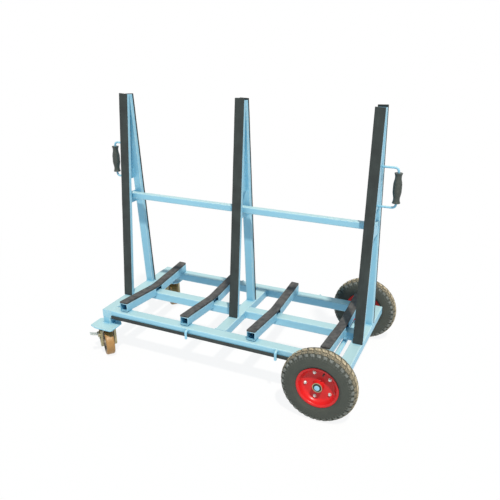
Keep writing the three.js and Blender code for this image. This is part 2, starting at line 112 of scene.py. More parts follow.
# The grain in relief is drawn coarser than the real one, which is too fine to show in the render.
def shade(tree, place, look, colour, cloud):
    grain = addNode(tree, "ShaderNodeTexNoise", {
        "Vector": place, "Scale": perMm(look["grainMm"]), "Detail": look.get("grainDetail", 2.0)})
    strength, height = look["relief"]
    bump = addNode(tree, "ShaderNodeBump", {
        "Height": grain.outputs[0], "Strength": strength, "Distance": height})
    inputs = {"Base Color": colour.outputs[2], "Normal": bump.outputs[0], **look.get("fixed", {})}
    if "gloss" in look:  # roughness that follows the clouds
        smooth, rough = look["gloss"]
        gloss = addNode(tree, "ShaderNodeMapRange", {0: cloud.outputs[0], 3: smooth, 4: rough})
        inputs["Roughness"] = gloss.outputs[0]
    surface = addNode(tree, "ShaderNodeBsdfPrincipled", inputs)
    addNode(tree, "ShaderNodeOutputMaterial", {"Surface": surface.outputs[0]})


def cloudedMaterial(name, look):  # a finish of two tones and a grain, with nothing on it
    material, tree, place = startMaterial(name)
    cloud, colour = cloudedColour(tree, place, look)
    shade(tree, place, look, colour, cloud)
    return material


# Sprayed alkyd enamel on steel tube: a smooth gloss skin with faint orange peel, a shade deeper
# where it went on thick, darker in inside corners as painted shade, paler over the edges where the
# paint is thin and as a painted highlight, and paler on faces that look up as painted top light.
enamelLook = {"tones": ("#8BC5DF", "#9DCFE4"), "cloudMm": 240, "detail": 4.0,
              "paintedTopLight": "#AACBD1", "paintedCornerShade": "#64A8C6", "cornerShadeMm": 50, "thinPaintAndHighlight": "#C4DBDE",
              "thinPaintAndHighlightMm": 14, "grainMm": 4, "relief": (0.12, 0.0004), "gloss": (0.34, 0.46),
              "fixed": {"Specular IOR Level": 0.35}}
blueEnamel, tree, place = startMaterial("sprayedBlueEnamel")
cloud, colour = cloudedColour(tree, place, enamelLook)
normal = addNode(tree, "ShaderNodeNewGeometry").outputs["Normal"]
facing = addNode(tree, "ShaderNodeSeparateXYZ", {0: normal})
# painted top light: faces that look up are painted paler, as if lit from above
topLightShare = addNode(tree, "ShaderNodeMapRange", {0: facing.outputs[2], 1: 0.4, 2: 0.95})
# painted shade: ambient occlusion darkens the colour in inside corners and recesses
hollow = addNode(tree, "ShaderNodeAmbientOcclusion", {"Distance": enamelLook["cornerShadeMm"] / 1000},
                 samples=8)
cornerShade = addNode(tree, "ShaderNodeMapRange", {0: hollow.outputs["AO"], 1: 0.85, 2: 0.35})
# paler on the rounded edges: thin paint there, and a painted highlight along them
edge = addNode(tree, "ShaderNodeAttribute", attribute_name="edge")
patch = addNode(tree, "ShaderNodeTexNoise", {
    "Vector": place, "Scale": perMm(enamelLook["thinPaintAndHighlightMm"]), "Detail": 3.0})
spread = addNode(tree, "ShaderNodeMapRange", {0: patch.outputs[0], 1: 0.4, 2: 0.75, 3: 0.1, 4: 0.7})
thinPaintAndHighlight = addNode(tree, "ShaderNodeMath", {0: edge.outputs["Fac"], 1: spread.outputs[0]},
               operation="MULTIPLY")
for share, tone in ((topLightShare, "paintedTopLight"), (cornerShade, "paintedCornerShade"), (thinPaintAndHighlight, "thinPaintAndHighlight")):
    colour = addNode(tree, "ShaderNodeMix", {
        0: share.outputs[0], 6: colour.outputs[2], 7: linear(enamelLook[tone])}, data_type="RGBA")
shade(tree, place, enamelLook, colour, cloud)

# Extruded black rubber: dull, with fine lines along its length and a grey bloom in patches.
stripLook = {"dark": "#242B2B", "bloom": "#363F3E", "lineMm": (110, 2.4), "patchMm": 70,
             "grainMm": 1.5, "relief": (0.2, 0.0003), "gloss": (0.62, 0.8)}
stripRubber, tree, place = startMaterial("extrudedRubber")
run = addNode(tree, "ShaderNodeUVMap", uv_map="run").outputs[0]
longMm, fineMm = stripLook["lineMm"]
along = addNode(tree, "ShaderNodeMapping", {
    "Vector": run, "Scale": (perMm(longMm), perMm(fineMm), 1)})
lines = addNode(tree, "ShaderNodeTexNoise", {
    "Vector": along.outputs[0], "Scale": 1.0, "Detail": 3.0})
patch = addNode(tree, "ShaderNodeTexNoise", {
    "Vector": place, "Scale": perMm(stripLook["patchMm"]), "Detail": 4.0})
bloom = addNode(tree, "ShaderNodeMath", {0: lines.outputs[0], 1: patch.outputs[0]},
                operation="MULTIPLY")
spread = addNode(tree, "ShaderNodeMapRange", {0: bloom.outputs[0], 1: 0.14, 2: 0.4})
colour = addNode(tree, "ShaderNodeMix", {
    0: spread.outputs[0], 6: linear(stripLook["dark"]), 7: linear(stripLook["bloom"])},
    data_type="RGBA")
shade(tree, place, stripLook, colour, lines)

# Moulded tyre rubber: matt grey-black, a painted grey highlight on the lug tops, with dry tan dust
# on the crown.
tyreLook = {"tones": ("#393E3A", "#4A4E47"), "cloudMm": 40, "detail": 5.0, "lugHighlight": "#A0A39F",
            "dust": "#D6C4A4", "dustMm": 9, "grainMm": 1.6, "relief": (0.2, 0.0003),
            "fixed": {"Roughness": 0.86}}
tyreRubber, tree, place = startMaterial("mouldedTyreRubber")
cloud, colour = cloudedColour(tree, place, tyreLook)
fleck = addNode(tree, "ShaderNodeTexNoise", {
    "Vector": place, "Scale": perMm(tyreLook["dustMm"]), "Detail": 3.0})
spread = addNode(tree, "ShaderNodeMapRange", {
    0: fleck.outputs[0], 1: 0.35, 2: 0.68, 3: 0.3, 4: 1.0})
# the grey layer on the lug tops is a painted highlight; the tan layer is dust
for layer in ("lugHighlight", "dust"):
    top = addNode(tree, "ShaderNodeAttribute", attribute_name=layer)
    part = addNode(tree, "ShaderNodeMath", {0: top.outputs["Fac"], 1: spread.outputs[0]},
                   operation="MULTIPLY")
    colour = addNode(tree, "ShaderNodeMix", {
        0: part.outputs[0], 6: colour.outputs[2], 7: linear(tyreLook[layer])}, data_type="RGBA")
shade(tree, place, tyreLook, colour, cloud)

# Extruded rubber on the bed, scuffed and dusty: browner than the strips on the racks, and mottled.
bedRubber = cloudedMaterial("dustyBedRubber", {
    "tones": ("#363738", "#575655"), "cloudMm": 28, "detail": 6.0, "spread": (0.36, 0.66),
    "grainMm": 2, "relief": (0.25, 0.0004), "gloss": (0.7, 0.9)})

# Red stoving enamel on pressed steel: glossy and even, a touch darker in cloudy patches.
redEnamel = cloudedMaterial("redStovingEnamel", {
    "tones": ("#BE1A1E", "#DC2A2A"), "cloudMm": 60, "detail": 3.0, "grainMm": 3,
    "relief": (0.1, 0.0003), "gloss": (0.24, 0.36), "fixed": {"Specular IOR Level": 0.3}})

# Bright zinc plate on turned and pressed steel: pale silver with a soft, slightly patchy shine.
brightSteel = cloudedMaterial("brightZincPlate", {
    "tones": ("#E2E6E0", "#BAC4C4"), "cloudMm": 18, "detail": 4.0, "grainMm": 1.2,
    "relief": (0.08, 0.0002), "gloss": (0.3, 0.5), "fixed": {"Metallic": 0.85}})

# Yellow passivated zinc on pressed steel: khaki with olive and straw clouds, duller than chrome.
zincSteel = cloudedMaterial("yellowPassivatedZinc", {
    "tones": ("#8C8768", "#C2B894"), "cloudMm": 22, "detail": 4.0, "grainMm": 1.2,
    "relief": (0.1, 0.0002), "gloss": (0.36, 0.55), "fixed": {"Metallic": 0.7}})

# Cast polyurethane tread: amber and waxy, with paler scuffs.
urethane = cloudedMaterial("castPolyurethane", {
    "tones": ("#8A6432", "#B48A54"), "cloudMm": 16, "detail": 5.0, "grainMm": 2,
    "relief": (0.12, 0.0003), "fixed": {"Roughness": 0.42}})

# Sand-cast iron, primed: dull grey-brown with a coarse grain.
castIron = cloudedMaterial("primedCastIron", {
    "tones": ("#6A655C", "#8F897E"), "cloudMm": 14, "detail": 4.0, "grainMm": 1.8,
    "grainDetail": 3.0, "relief": (0.4, 0.0005), "fixed": {"Roughness": 0.6, "Metallic": 0.35}})

# Injection-moulded polypropylene: near black, satin, with a fine spark-eroded grain.
gripPlastic = cloudedMaterial("mouldedPolypropylene", {
    "tones": ("#2E3431", "#4A524D"), "cloudMm": 12, "detail": 4.0, "grainMm": 1.3,
    "relief": (0.2, 0.0002), "gloss": (0.4, 0.58)})
print("materials made")


# mesh tools
def loft(bm, rings, loop=False, weights=None, layer="edge"):  # a skin over rings of points
    runLayer = bm.loops.layers.uv.get("run") or bm.loops.layers.uv.new("run")
    weightLayer = bm.verts.layers.float.get(layer) or bm.verts.layers.float.new(layer)
    rows = []
    for i, ring in enumerate(rings):
        row = [bm.verts.new(p) for p in ring]
        for j, vert in enumerate(row):
            vert[weightLayer] = 0 if weights is None else weights[i][j]
        rows.append(row)
    count = len(rows[0])
    around = [0]
    for j in range(count):
        around.append(around[-1] + (rings[0][(j + 1) % count] - rings[0][j]).length)
    along = [0]
    for i in range(len(rings)):
        here, after = rings[i], rings[(i + 1) % len(rings)]
        along.append(along[-1] + sum((b - a).length for a, b in zip(here, after)) / count)
    for i in range(len(rows) if loop else len(rows) - 1):
        here, after = rows[i], rows[(i + 1) % len(rows)]
        for j in range(count):
            k = (j + 1) % count
            face = bm.faces.new((here[j], here[k], after[k], after[j]))
            spots = ((i, j), (i, j + 1), (i + 1, j + 1), (i + 1, j))
            for corner, (a, b) in zip(face.loops, spots):
                corner[runLayer].uv = (along[a], around[b])
    if not loop:
        bm.faces.new(rows[0][::-1])
        bm.faces.new(rows[-1])
    return bm


def turns(count):  # angles evenly round a circle
    return [2 * pi * k / count for k in range(count)]


def squareTo(axis):  # the axis and two directions square to it
    axis = Vector(axis).normalized()
    side = axis.orthogonal().normalized()
    return axis, side, axis.cross(side)


def lathe(bm, profile, centre, axis, segments):  # profile of radius and place along the axis
    axis, side, up = squareTo(axis)
    rings = []
    for angle in turns(segments):
        out = side * cos(angle) + up * sin(angle)
        rings.append([Vector(centre) + axis * a + out * r for r, a in profile])
    return loft(bm, rings, loop=True)


def bend(first, corner, last, steps):  # a smooth turn at a corner
    shares = [k / steps for k in range(steps + 1)]
    return [first * (1 - t) ** 2 + corner * 2 * t * (1 - t) + last * t * t for t in shares]


def rounded(corners, radius, steps=4):  # a closed outline; a third number is a corner's radius
    points = []
    for i, corner in enumerate(corners):
        middle = Vector(corner[:2])
        back = Vector(corners[i - 1][:2]) - middle
        ahead = Vector(corners[(i + 1) % len(corners)][:2]) - middle
        reach = corner[2] if len(corner) > 2 else radius
        reach = min(reach, 0.48 * back.length, 0.48 * ahead.length)
        if reach < 1e-6:
            points.append(middle)
        else:
            points += bend(middle + back.normalized() * reach, middle,
                           middle + ahead.normalized() * reach, steps)
    return points


def rectangle(a, b):  # corners, from half of its length and width
    return [(-a, -b), (a, -b), (a, b), (-a, b)]


def pinProfile(radius, half, ease, steps):  # for a round pin with eased ends
    return rounded([(0, -half, 0), (radius, -half), (radius, half), (0, half, 0)], ease, steps)


def inset(points, distance):  # an outline given counterclockwise, moved inwards
    moved = []
    for i, point in enumerate(points):
        before = (point - points[i - 1]).normalized()
        after = (points[(i + 1) % len(points)] - point).normalized()
        both = before + after
        inward = Vector((-both.y, both.x)).normalized()
        slant = max(inward.dot(Vector((-after.y, after.x))), 0.5)
        moved.append(point + inward * distance / slant)
    return moved


def smoothRun(points, steps):  # a smooth curve through points
    run = []
    for i in range(len(points) - 1):
        p0, p1, p2 = points[max(i - 1, 0)], points[i], points[i + 1]
        p3 = points[min(i + 2, len(points) - 1)]
        for k in range(steps):
            t = k / steps
            run.append((p1 * 2 + (p2 - p0) * t + (p0 * 2 - p1 * 5 + p2 * 4 - p3) * t * t
                        + (p1 * 3 - p0 - p2 * 3 + p3) * t * t * t) / 2)
    return run + [points[-1]]


def barOutline(width, height, corner, steps=5, flat=0.003):  # rounded, with its corners marked
    points, marks = [], []
    for sideU, sideV, start in ((1, -1, -90), (1, 1, 0), (-1, 1, 90), (-1, -1, 180)):
        middle = Vector((sideU * (width / 2 - corner), sideV * (height / 2 - corner)))
        arc = [radians(start + 90 * k / steps) for k in range(steps + 1)]
        rim = [middle + Vector((cos(a), sin(a))) * corner for a in arc]
        lead = Vector((-sin(arc[0]), cos(arc[0]))) * flat
        tail = Vector((-sin(arc[-1]), cos(arc[-1]))) * flat
        points += [rim[0] - lead, *rim, rim[-1] + tail]
        marks += [0] + [1] * len(rim) + [0]
    return points, marks


def boxTube(bm, place, start, end, width, height, corner, wall=0, lip=0.0008):
    outer, marks = barOutline(width, height, corner)
    tight = barOutline(width - 2 * lip, height - 2 * lip, corner - lip / 2)[0]
    stations = [(tight, start), (outer, start + lip), (outer, end - lip), (tight, end)]
    weights = [[1] * len(marks), marks, marks, [1] * len(marks)]
    if wall:
        inner = barOutline(width - 2 * wall, height - 2 * wall, max(corner - wall / 2, 0.001))[0]
        stations += [(inner, end), (inner, start)]
        weights += [[0] * len(marks)] * 2
    rings = [[place(s, p.x, p.y) for p in outline] for outline, s in stations]
    return loft(bm, rings, loop=bool(wall), weights=weights)


def plate(bm, outline, place, low, high, ease):  # a flat plate with eased edges
    tight = inset(outline, ease)
    stations = [(tight, low), (outline, low + ease), (outline, high - ease), (tight, high)]
    return loft(bm, [[place(p.x, p.y, w) for p in shape] for shape, w in stations])


def rod(bm, path, across, radius, segments=16, ease=0.0012):  # a round bar along a flat path
    across = Vector(across).normalized()
    rings = []
    last = len(path) - 1
    for i, point in enumerate(path):
        ahead = (path[min(i + 1, last)] - path[max(i - 1, 0)]).normalized()
        other = ahead.cross(across)
        spots = [(0, 1)]
        if i == 0:
            spots = [(0, 1 - ease / radius), (ease, 1)]
        if i == last:
            spots = [(-ease, 1), (0, 1 - ease / radius)]
        for shift, share in spots:
            middle = point + ahead * shift
            rings.append([middle + (across * cos(a) + other * sin(a)) * radius * share
                          for a in turns(segments)])
    return loft(bm, rings)


def bentPath(corners, reach, steps=10):
    path = [corners[0]]
    for before, corner, after in zip(corners, corners[1:], corners[2:]):
        path += bend(corner + (before - corner).normalized() * reach, corner,
                     corner + (after - corner).normalized() * reach, steps)
    return path + [corners[-1]]


def hexHead(bm, base, axis, radius, height, washer, washerHeight=0.0016):
    base = Vector(base)
    disc = [(0, 0), (washer, 0), (washer, washerHeight), (0, washerHeight)]
    lathe(bm, rounded(disc, 0.0003, steps=2), base, axis, segments=24)
    axis, side, up = squareTo(axis)
    rings = []
    for share, rise in ((1, 0), (1, 0.86), (0.9, 1)):  # shares of the radius and of the height
        middle = base + axis * (washerHeight + height * rise)
        rings.append([middle + (side * cos(a) + up * sin(a)) * radius * share for a in turns(6)])
    return loft(bm, rings)


def placeMesh(name, mesh, body, nodes=(), sharp=38):
    mesh.shade_smooth()
    mesh.set_sharp_from_angle(angle=radians(sharp))
    piece = bpy.data.objects.new(name, mesh)
    scene.collection.objects.link(piece)
    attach(piece, body)
    if nodes:
        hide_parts(*nodes)


def finishMesh(name, bm, material, turned=None):
    bmesh.ops.remove_doubles(bm, verts=bm.verts, dist=2e-6)
    bmesh.ops.dissolve_degenerate(bm, edges=bm.edges, dist=1e-7)
    bmesh.ops.recalc_face_normals(bm, faces=bm.faces)
    if turned is not None:
        bm.transform(turned)
    mesh = bpy.data.meshes.new(name)
    bm.to_mesh(mesh)
    bm.free()
    if material is not None:
        mesh.materials.append(material)
    return mesh


def addPiece(name, bm, material, body, nodes=(), turned=None, sharp=38):
    placeMesh(name, finishMesh(name, bm, material, turned), body, nodes, sharp)


def addBlueSteel(name, bm, node):
    addPiece(name, bm, blueEnamel, "frame", [node])


# Geometry Nodes trees for what repeats
def startTree(name, inputs):
    tree = bpy.data.node_groups.new(name, "GeometryNodeTree")
    tree.interface.new_socket("Geometry", in_out="INPUT", socket_type="NodeSocketGeometry")
    for label, kind in inputs.items():
        tree.interface.new_socket(label, in_out="INPUT", socket_type="NodeSocket" + kind)
    tree.interface.new_socket("Geometry", in_out="OUTPUT", socket_type="NodeSocketGeometry")
    return tree, addNode(tree, "NodeGroupInput").outputs


def endTree(tree, instances, material):
    plain = addNode(tree, "GeometryNodeRealizeInstances", {0: instances})
    dressed = addNode(tree, "GeometryNodeSetMaterial", {
        "Geometry": plain.outputs[0], "Material": material})
    addNode(tree, "NodeGroupOutput", {0: dressed.outputs[0]})


def grow(tree, seed, values):  # runs a tree on a seed mesh and gives the plain result
    source = bpy.data.objects.new("seed", seed)
    scene.collection.objects.link(source)
    modifier = source.modifiers.new("grow", "NODES")
    modifier.node_group = tree
    for item in tree.interface.items_tree:
        if item.in_out == "INPUT" and item.name in values:
            modifier[item.identifier] = values[item.name]
    ready = source.evaluated_get(bpy.context.evaluated_depsgraph_get())
    grown = bpy.data.meshes.new_from_object(ready)
    source.modifiers.remove(modifier)
    bpy.data.objects.remove(source)
    bpy.data.meshes.remove(seed)
    return grown


# A ring of copies about the Y axis, for tread pitches and wheel bolts.
ringTree, given = startTree("ringOfCopies", {
    "Count": "Int", "Phase": "Float", "Centre": "Vector", "Finish": "Material"})
spots = addNode(ringTree, "GeometryNodeMeshLine", {"Count": given["Count"], "Offset": (0, 0, 0)})
number = addNode(ringTree, "GeometryNodeInputIndex")
pitch = addNode(ringTree, "ShaderNodeMath", {0: -2 * pi, 1: given["Count"]}, operation="DIVIDE")
swing = addNode(ringTree, "ShaderNodeMath", {
    0: number.outputs[0], 1: pitch.outputs[0], 2: given["Phase"]}, operation="MULTIPLY_ADD")
spin = addNode(ringTree, "ShaderNodeCombineXYZ", {1: swing.outputs[0]})
turn = addNode(ringTree, "FunctionNodeEulerToRotation", {0: spin.outputs[0]})
copies = addNode(ringTree, "GeometryNodeInstanceOnPoints", {
    "Points": spots.outputs[0], "Instance": given["Geometry"], "Rotation": turn.outputs[0]})
moved = addNode(ringTree, "GeometryNodeTransform", {
    "Geometry": copies.outputs[0], "Translation": given["Centre"]})
endTree(ringTree, moved.outputs[0], given["Finish"])

# A row of copies, for ribs.
rowTree, given = startTree("rowOfCopies", {
    "Count": "Int", "Start": "Vector", "Step": "Vector", "Finish": "Material"})
spots = addNode(rowTree, "GeometryNodeMeshLine", {
    "Count": given["Count"], "Start Location": given["Start"], "Offset": given["Step"]})
copies = addNode(rowTree, "GeometryNodeInstanceOnPoints", {
    "Points": spots.outputs[0], "Instance": given["Geometry"]})
endTree(rowTree, copies.outputs[0], given["Finish"])

# Four copies at the corners of a rectangle, for plate bolts.
cornerTree, given = startTree("copiesAtCorners", {
    "Length": "Float", "Width": "Float", "Centre": "Vector", "Finish": "Material"})
spots = addNode(cornerTree, "GeometryNodeMeshGrid", {
    "Size X": given["Length"], "Size Y": given["Width"], "Vertices X": 2, "Vertices Y": 2})
copies = addNode(cornerTree, "GeometryNodeInstanceOnPoints", {
    "Points": spots.outputs[0], "Instance": given["Geometry"]})
moved = addNode(cornerTree, "GeometryNodeTransform", {
    "Geometry": copies.outputs[0], "Translation": given["Centre"]})
endTree(cornerTree, moved.outputs[0], given["Finish"])

# A weld bead: overlapping drops of uneven size along each seam line.
beadTree, given = startTree("weldBead", {
    "Pitch": "Float", "Radius": "Float", "Seed": "Int", "Finish": "Material"})
seamLine = addNode(beadTree, "GeometryNodeMeshToCurve", {"Mesh": given["Geometry"]})
spots = addNode(beadTree, "GeometryNodeResampleCurve", {
    "Curve": seamLine.outputs[0], "Length": given["Pitch"]}, mode="LENGTH")
drop = addNode(beadTree, "GeometryNodeMeshUVSphere", {"Segments": 8, "Rings": 4, "Radius": 1.0})
tangent = addNode(beadTree, "GeometryNodeInputTangent")
turn = addNode(beadTree, "FunctionNodeAlignRotationToVector", {"Vector": tangent.outputs[0]},
               axis="X")
uneven = addNode(beadTree, "FunctionNodeRandomValue", {2: 0.8, 3: 1.15, "Seed": given["Seed"]},
                 data_type="FLOAT")
size = addNode(beadTree, "ShaderNodeMath", {0: uneven.outputs[1], 1: given["Radius"]},
               operation="MULTIPLY")
copies = addNode(beadTree, "GeometryNodeInstanceOnPoints", {
    "Points": spots.outputs[0], "Instance": drop.outputs[0], "Rotation": turn.outputs[0],
    "Scale": size.outputs[0]})
endTree(beadTree, copies.outputs[0], given["Finish"])
print("node trees made")

# lines that the weld beads follow
seams = []
rodSeam = 0.0062  # radius of the bead round a rod's root


def addSeam(*points):
    seams.append([Vector(p) for p in points])


def addRodSeam(place):
    addSeam(*[place(rodSeam * cos(a), rodSeam * sin(a)) for a in [*turns(12), 2 * pi]])


# base frame of rectangular tube
baseLook = {"corner": 0.005}
for name, node, axis in (
        ("leftEndTube", "left_end_crossmember", "y"),
        ("rightEndTube", "right_end_crossmember", "y"),
        ("centreCrossTube", "centre_crossmember", "y"),
        ("frontRailTube", "front_rail", "x"), ("rearRailTube", "rear_rail", "x"),
        ("leftCentreTube", "centre_rail_left", "x"), ("rightCentreTube", "centre_rail_right", "x")):
    low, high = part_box(node)
    middle, size = (low + high) / 2, high - low
    if axis == "x":
        bm = boxTube(bmesh.new(), lambda s, u, v: Vector((s, middle.y + u, middle.z + v)),
                     low.x, high.x, size.y, size.z, baseLook["corner"])
    else:
        bm = boxTube(bmesh.new(), lambda s, u, v: Vector((middle.x + u, s, middle.z + v)),
                     low.y, high.y, size.x, size.z, baseLook["corner"])
    addBlueSteel(name, bm, node)

railLow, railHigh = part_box("front_rail")
crossLow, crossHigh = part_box("centre_crossmember")
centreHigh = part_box("centre_rail_right")[1]
railInner, baseBottom, baseTop = abs(railHigh.y), railLow.z, railHigh.z
for side in (-1, 1):
    y = side * railInner
    for x in (railLow.x, crossLow.x, crossHigh.x, railHigh.x):  # inside corners at the side rails
        addSeam((x, y, baseBottom), (x, y, baseTop))
    y = side * centreHigh.y
    for x in (crossHigh.x, railHigh.x):  # inside corners at the centre rails
        for end in (-1, 1):
            addSeam((end * x, y, baseBottom), (end * x, y, baseTop))
print("base frame made")

# bumpers: rubber strips along the lower edge of the rails
bumperLook = {"stripCorner": 0.0025, "wave": 0.0002}
# a rubber strip's thickness swells in a slow and a fast wave, in radians per metre
swellLook = {"slow": 23.1, "fast": 57.7, "fastShare": 0.6, "fastShift": 1.3}


def rubberStrip(place, start, end, width, thick, look, skew=(0, 0), step=0.03, lip=0.0012):
    corner = look["stripCorner"]
    outline = barOutline(width, thick, corner, steps=4, flat=0.002)[0]
    tight = barOutline(width - 2 * lip, thick - 2 * lip, corner - lip / 2, steps=4, flat=0.002)[0]
    count = max(2, ceil((end - start) / step))
    stations = [(tight, start), (outline, start + lip)]
    stations += [(outline, start + (end - start) * i / count) for i in range(1, count)]
    stations += [(outline, end - lip), (tight, end)]
    rings = []
    for i, (shape, s) in enumerate(stations):
        fast = swellLook["fastShare"] * sin(s * swellLook["fast"] + swellLook["fastShift"])
        swell = look["wave"] * (sin(s * swellLook["slow"]) + fast)
        tilt = skew[0] if i < 2 else skew[1] if i >= len(stations) - 2 else 0
        rings.append([place(s + tilt * p.x / width, p.x, p.y + (swell if p.y > 0 else 0))
                      for p in shape])
    return loft(bmesh.new(), rings)


for name, side in sides:
    low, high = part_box(f"{name}_bumper")
    middle, size = (low + high) / 2, high - low
    bm = rubberStrip(lambda s, u, v: Vector((s, middle.y + side * v, middle.z + u)),
                     low.x, high.x, size.z, size.y, bumperLook)
    addPiece(f"{name}BumperStrip", bm, stripRubber, "frame", [f"{name}_bumper"])

# lashing hooks on the rails
hookLook = {"radius": 0.0075, "bend": 0.012}
for name, side in sides:
    for place in ("left", "right"):
        low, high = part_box(f"{name}_{place}_hook")
        radius = hookLook["radius"]
        x, z = (low.x + high.x) / 2, high.z - radius
        root, tip = (low.y, high.y) if side > 0 else (high.y, low.y)
        reach = tip - side * radius
        corners = [Vector((x, root, z)), Vector((x, reach, z)), Vector((x, reach, low.z))]
        bm = rod(bmesh.new(), bentPath(corners, hookLook["bend"]), (1, 0, 0), radius)
        addBlueSteel(f"{name}{place.title()}Hook", bm, f"{name}_{place}_hook")
        addRodSeam(lambda u, v: (x + u, root, z + v))
print("bumpers and hooks made")

# racks: leaning tube legs, web plates and rubber strips
rackLook = {"lean": 4.9, "apexGap": 0.001, "depth": 0.025, "corner": 0.004, "wall": 0.0025,
            "fit": 0.0003, "plateCorner": 0.001, "plateEase": 0.0006,
            "stripThick": 0.009, "stripCorner": 0.0022, "wave": 0.00035, "overhang": 0.003,
            # how far each strip's top stands above the leg's, front and rear, and how far it slants
            "topLift": {"left": (-0.001, -0.006), "centre": (0.007, 0.002),
                        "right": (-0.003, 0.003)},
            "topSkew": {"left": 0.003, "centre": -0.0015, "right": 0.0018}}
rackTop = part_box("centre_rack_front_leg")[1].z
leanSlope = tan(radians(rackLook["lean"]))


def halfGap(z):  # half of the gap between a rack's legs
    return rackLook["apexGap"] / 2 + (rackTop - z) * leanSlope


def leanAt(x, side, offset):  # places a section that follows a leg
    return lambda s, u, v: Vector((x + u, side * (halfGap(s) + offset + v), s))


for rack in racks:
    for face, side in sides:
        node, name = f"{rack}_rack_{face}", f"{rack}Rack{face.title()}"
        low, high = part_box(node + "_leg")
        x, width = (low.x + high.x) / 2, high.x - low.x
        depth, thick = rackLook["depth"], rackLook["stripThick"]
        bm = boxTube(bmesh.new(), leanAt(x, side, depth / 2), low.z, high.z, width, depth,
                     rackLook["corner"], rackLook["wall"])
        addBlueSteel(name + "Leg", bm, node + "_leg")
        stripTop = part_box(node + "_strip")[1].z + rackLook["topLift"][rack][side > 0]
        bm = rubberStrip(leanAt(x, side, depth + rackLook["fit"] + thick / 2), low.z, stripTop,
                         width + rackLook["overhang"], thick, rackLook,
                         (0, rackLook["topSkew"][rack] * side))
        addPiece(name + "Strip", bm, stripRubber, "frame", [node + "_strip"])
        inner, outer = side * halfGap(low.z), side * (halfGap(low.z) + depth)
        foot = [(low.x, outer), (low.x, inner), (high.x, inner), (high.x, outer)]
        addSeam(*[(a, b, low.z) for a, b in foot])


def gapPlate(bm, low, high, hole=None):  # a plate that fills the gap between the legs
    fit = rackLook["fit"]
    wide, narrow = halfGap(low.z) - fit, halfGap(high.z) - fit
    corners = [(-wide, low.z), (wide, low.z), (narrow, high.z), (-narrow, high.z)]
    place = lambda u, v, w: Vector((w, u, v))
    if hole is None:
        plate(bm, rounded(corners, rackLook["plateCorner"], steps=2), place, low.x, high.x,
              rackLook["plateEase"])
    else:
        middle, radius = hole
        cornerAngles = [atan2(b - middle, a) % (2 * pi) for a, b in corners]
        angles = sorted(turns(24) + cornerAngles)
        outer = []
        for angle in angles:  # where a ray from the hole's middle leaves the plate
            ray = Vector((cos(angle), sin(angle)))
            reaches = []
            for (a, b), (c, d) in zip(corners, corners[1:] + corners[:1]):
                across = Vector((c - a, d - b))
                turn = ray.x * across.y - ray.y * across.x
                if abs(turn) > 1e-9:
                    reaches.append((a * across.y - (b - middle) * across.x) / turn)
            outer.append(ray * min(t for t in reaches if t > 0) + Vector((0, middle)))
        inner = [Vector((radius * cos(a), middle + radius * sin(a))) for a in angles]
        stations = [(outer, low.x), (outer, high.x), (inner, high.x), (inner, low.x)]
        loft(bm, [[place(p.x, p.y, w) for p in shape] for shape, w in stations], loop=True)
    for x in (low.x, high.x):
        for side in (-1, 1):
            addSeam((x, side * (wide + fit), low.z), (x, side * (narrow + fit), high.z))
    return bm


for rack in racks:
    node = f"{rack}_rack_web"
    addBlueSteel(f"{rack}RackWeb", gapPlate(bmesh.new(), *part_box(node)), node)
print("racks made")

# rail through the racks with its tie plates
midLook = {"size": 0.036, "corner": 0.004, "wall": 0.0025, "tie": 0.006, "tieDrop": 0.034,
           "vent": 0.007}
low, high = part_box("mid_rail")
size, wall, tie = midLook["size"], midLook["wall"], midLook["tie"]
midZ = low.z + midLook["tieDrop"] + (high.z - low.z - midLook["tieDrop"]) / 2
bm = boxTube(bmesh.new(), lambda s, u, v: Vector((s, u, midZ + v)), low.x + tie, high.x - tie,
             size, size, midLook["corner"], wall)
for left in (low.x, high.x - tie):
    gapPlate(bm, Vector((left, 0, low.z)), Vector((left + tie, 0, high.z)), (midZ, midLook["vent"]))
gapPlate(bm, Vector((-tie / 2, 0, low.z)), Vector((tie / 2, 0, midZ - size / 2 + wall / 2)))
addBlueSteel("midRailWithTies", bm, "mid_rail")
square = rectangle(size / 2, size / 2)
for end in (-1, 1):
    x = end * (high.x - tie)
    addSeam(*[(x, a, midZ + b) for a, b in square + square[:1]])
print("mid rail made")

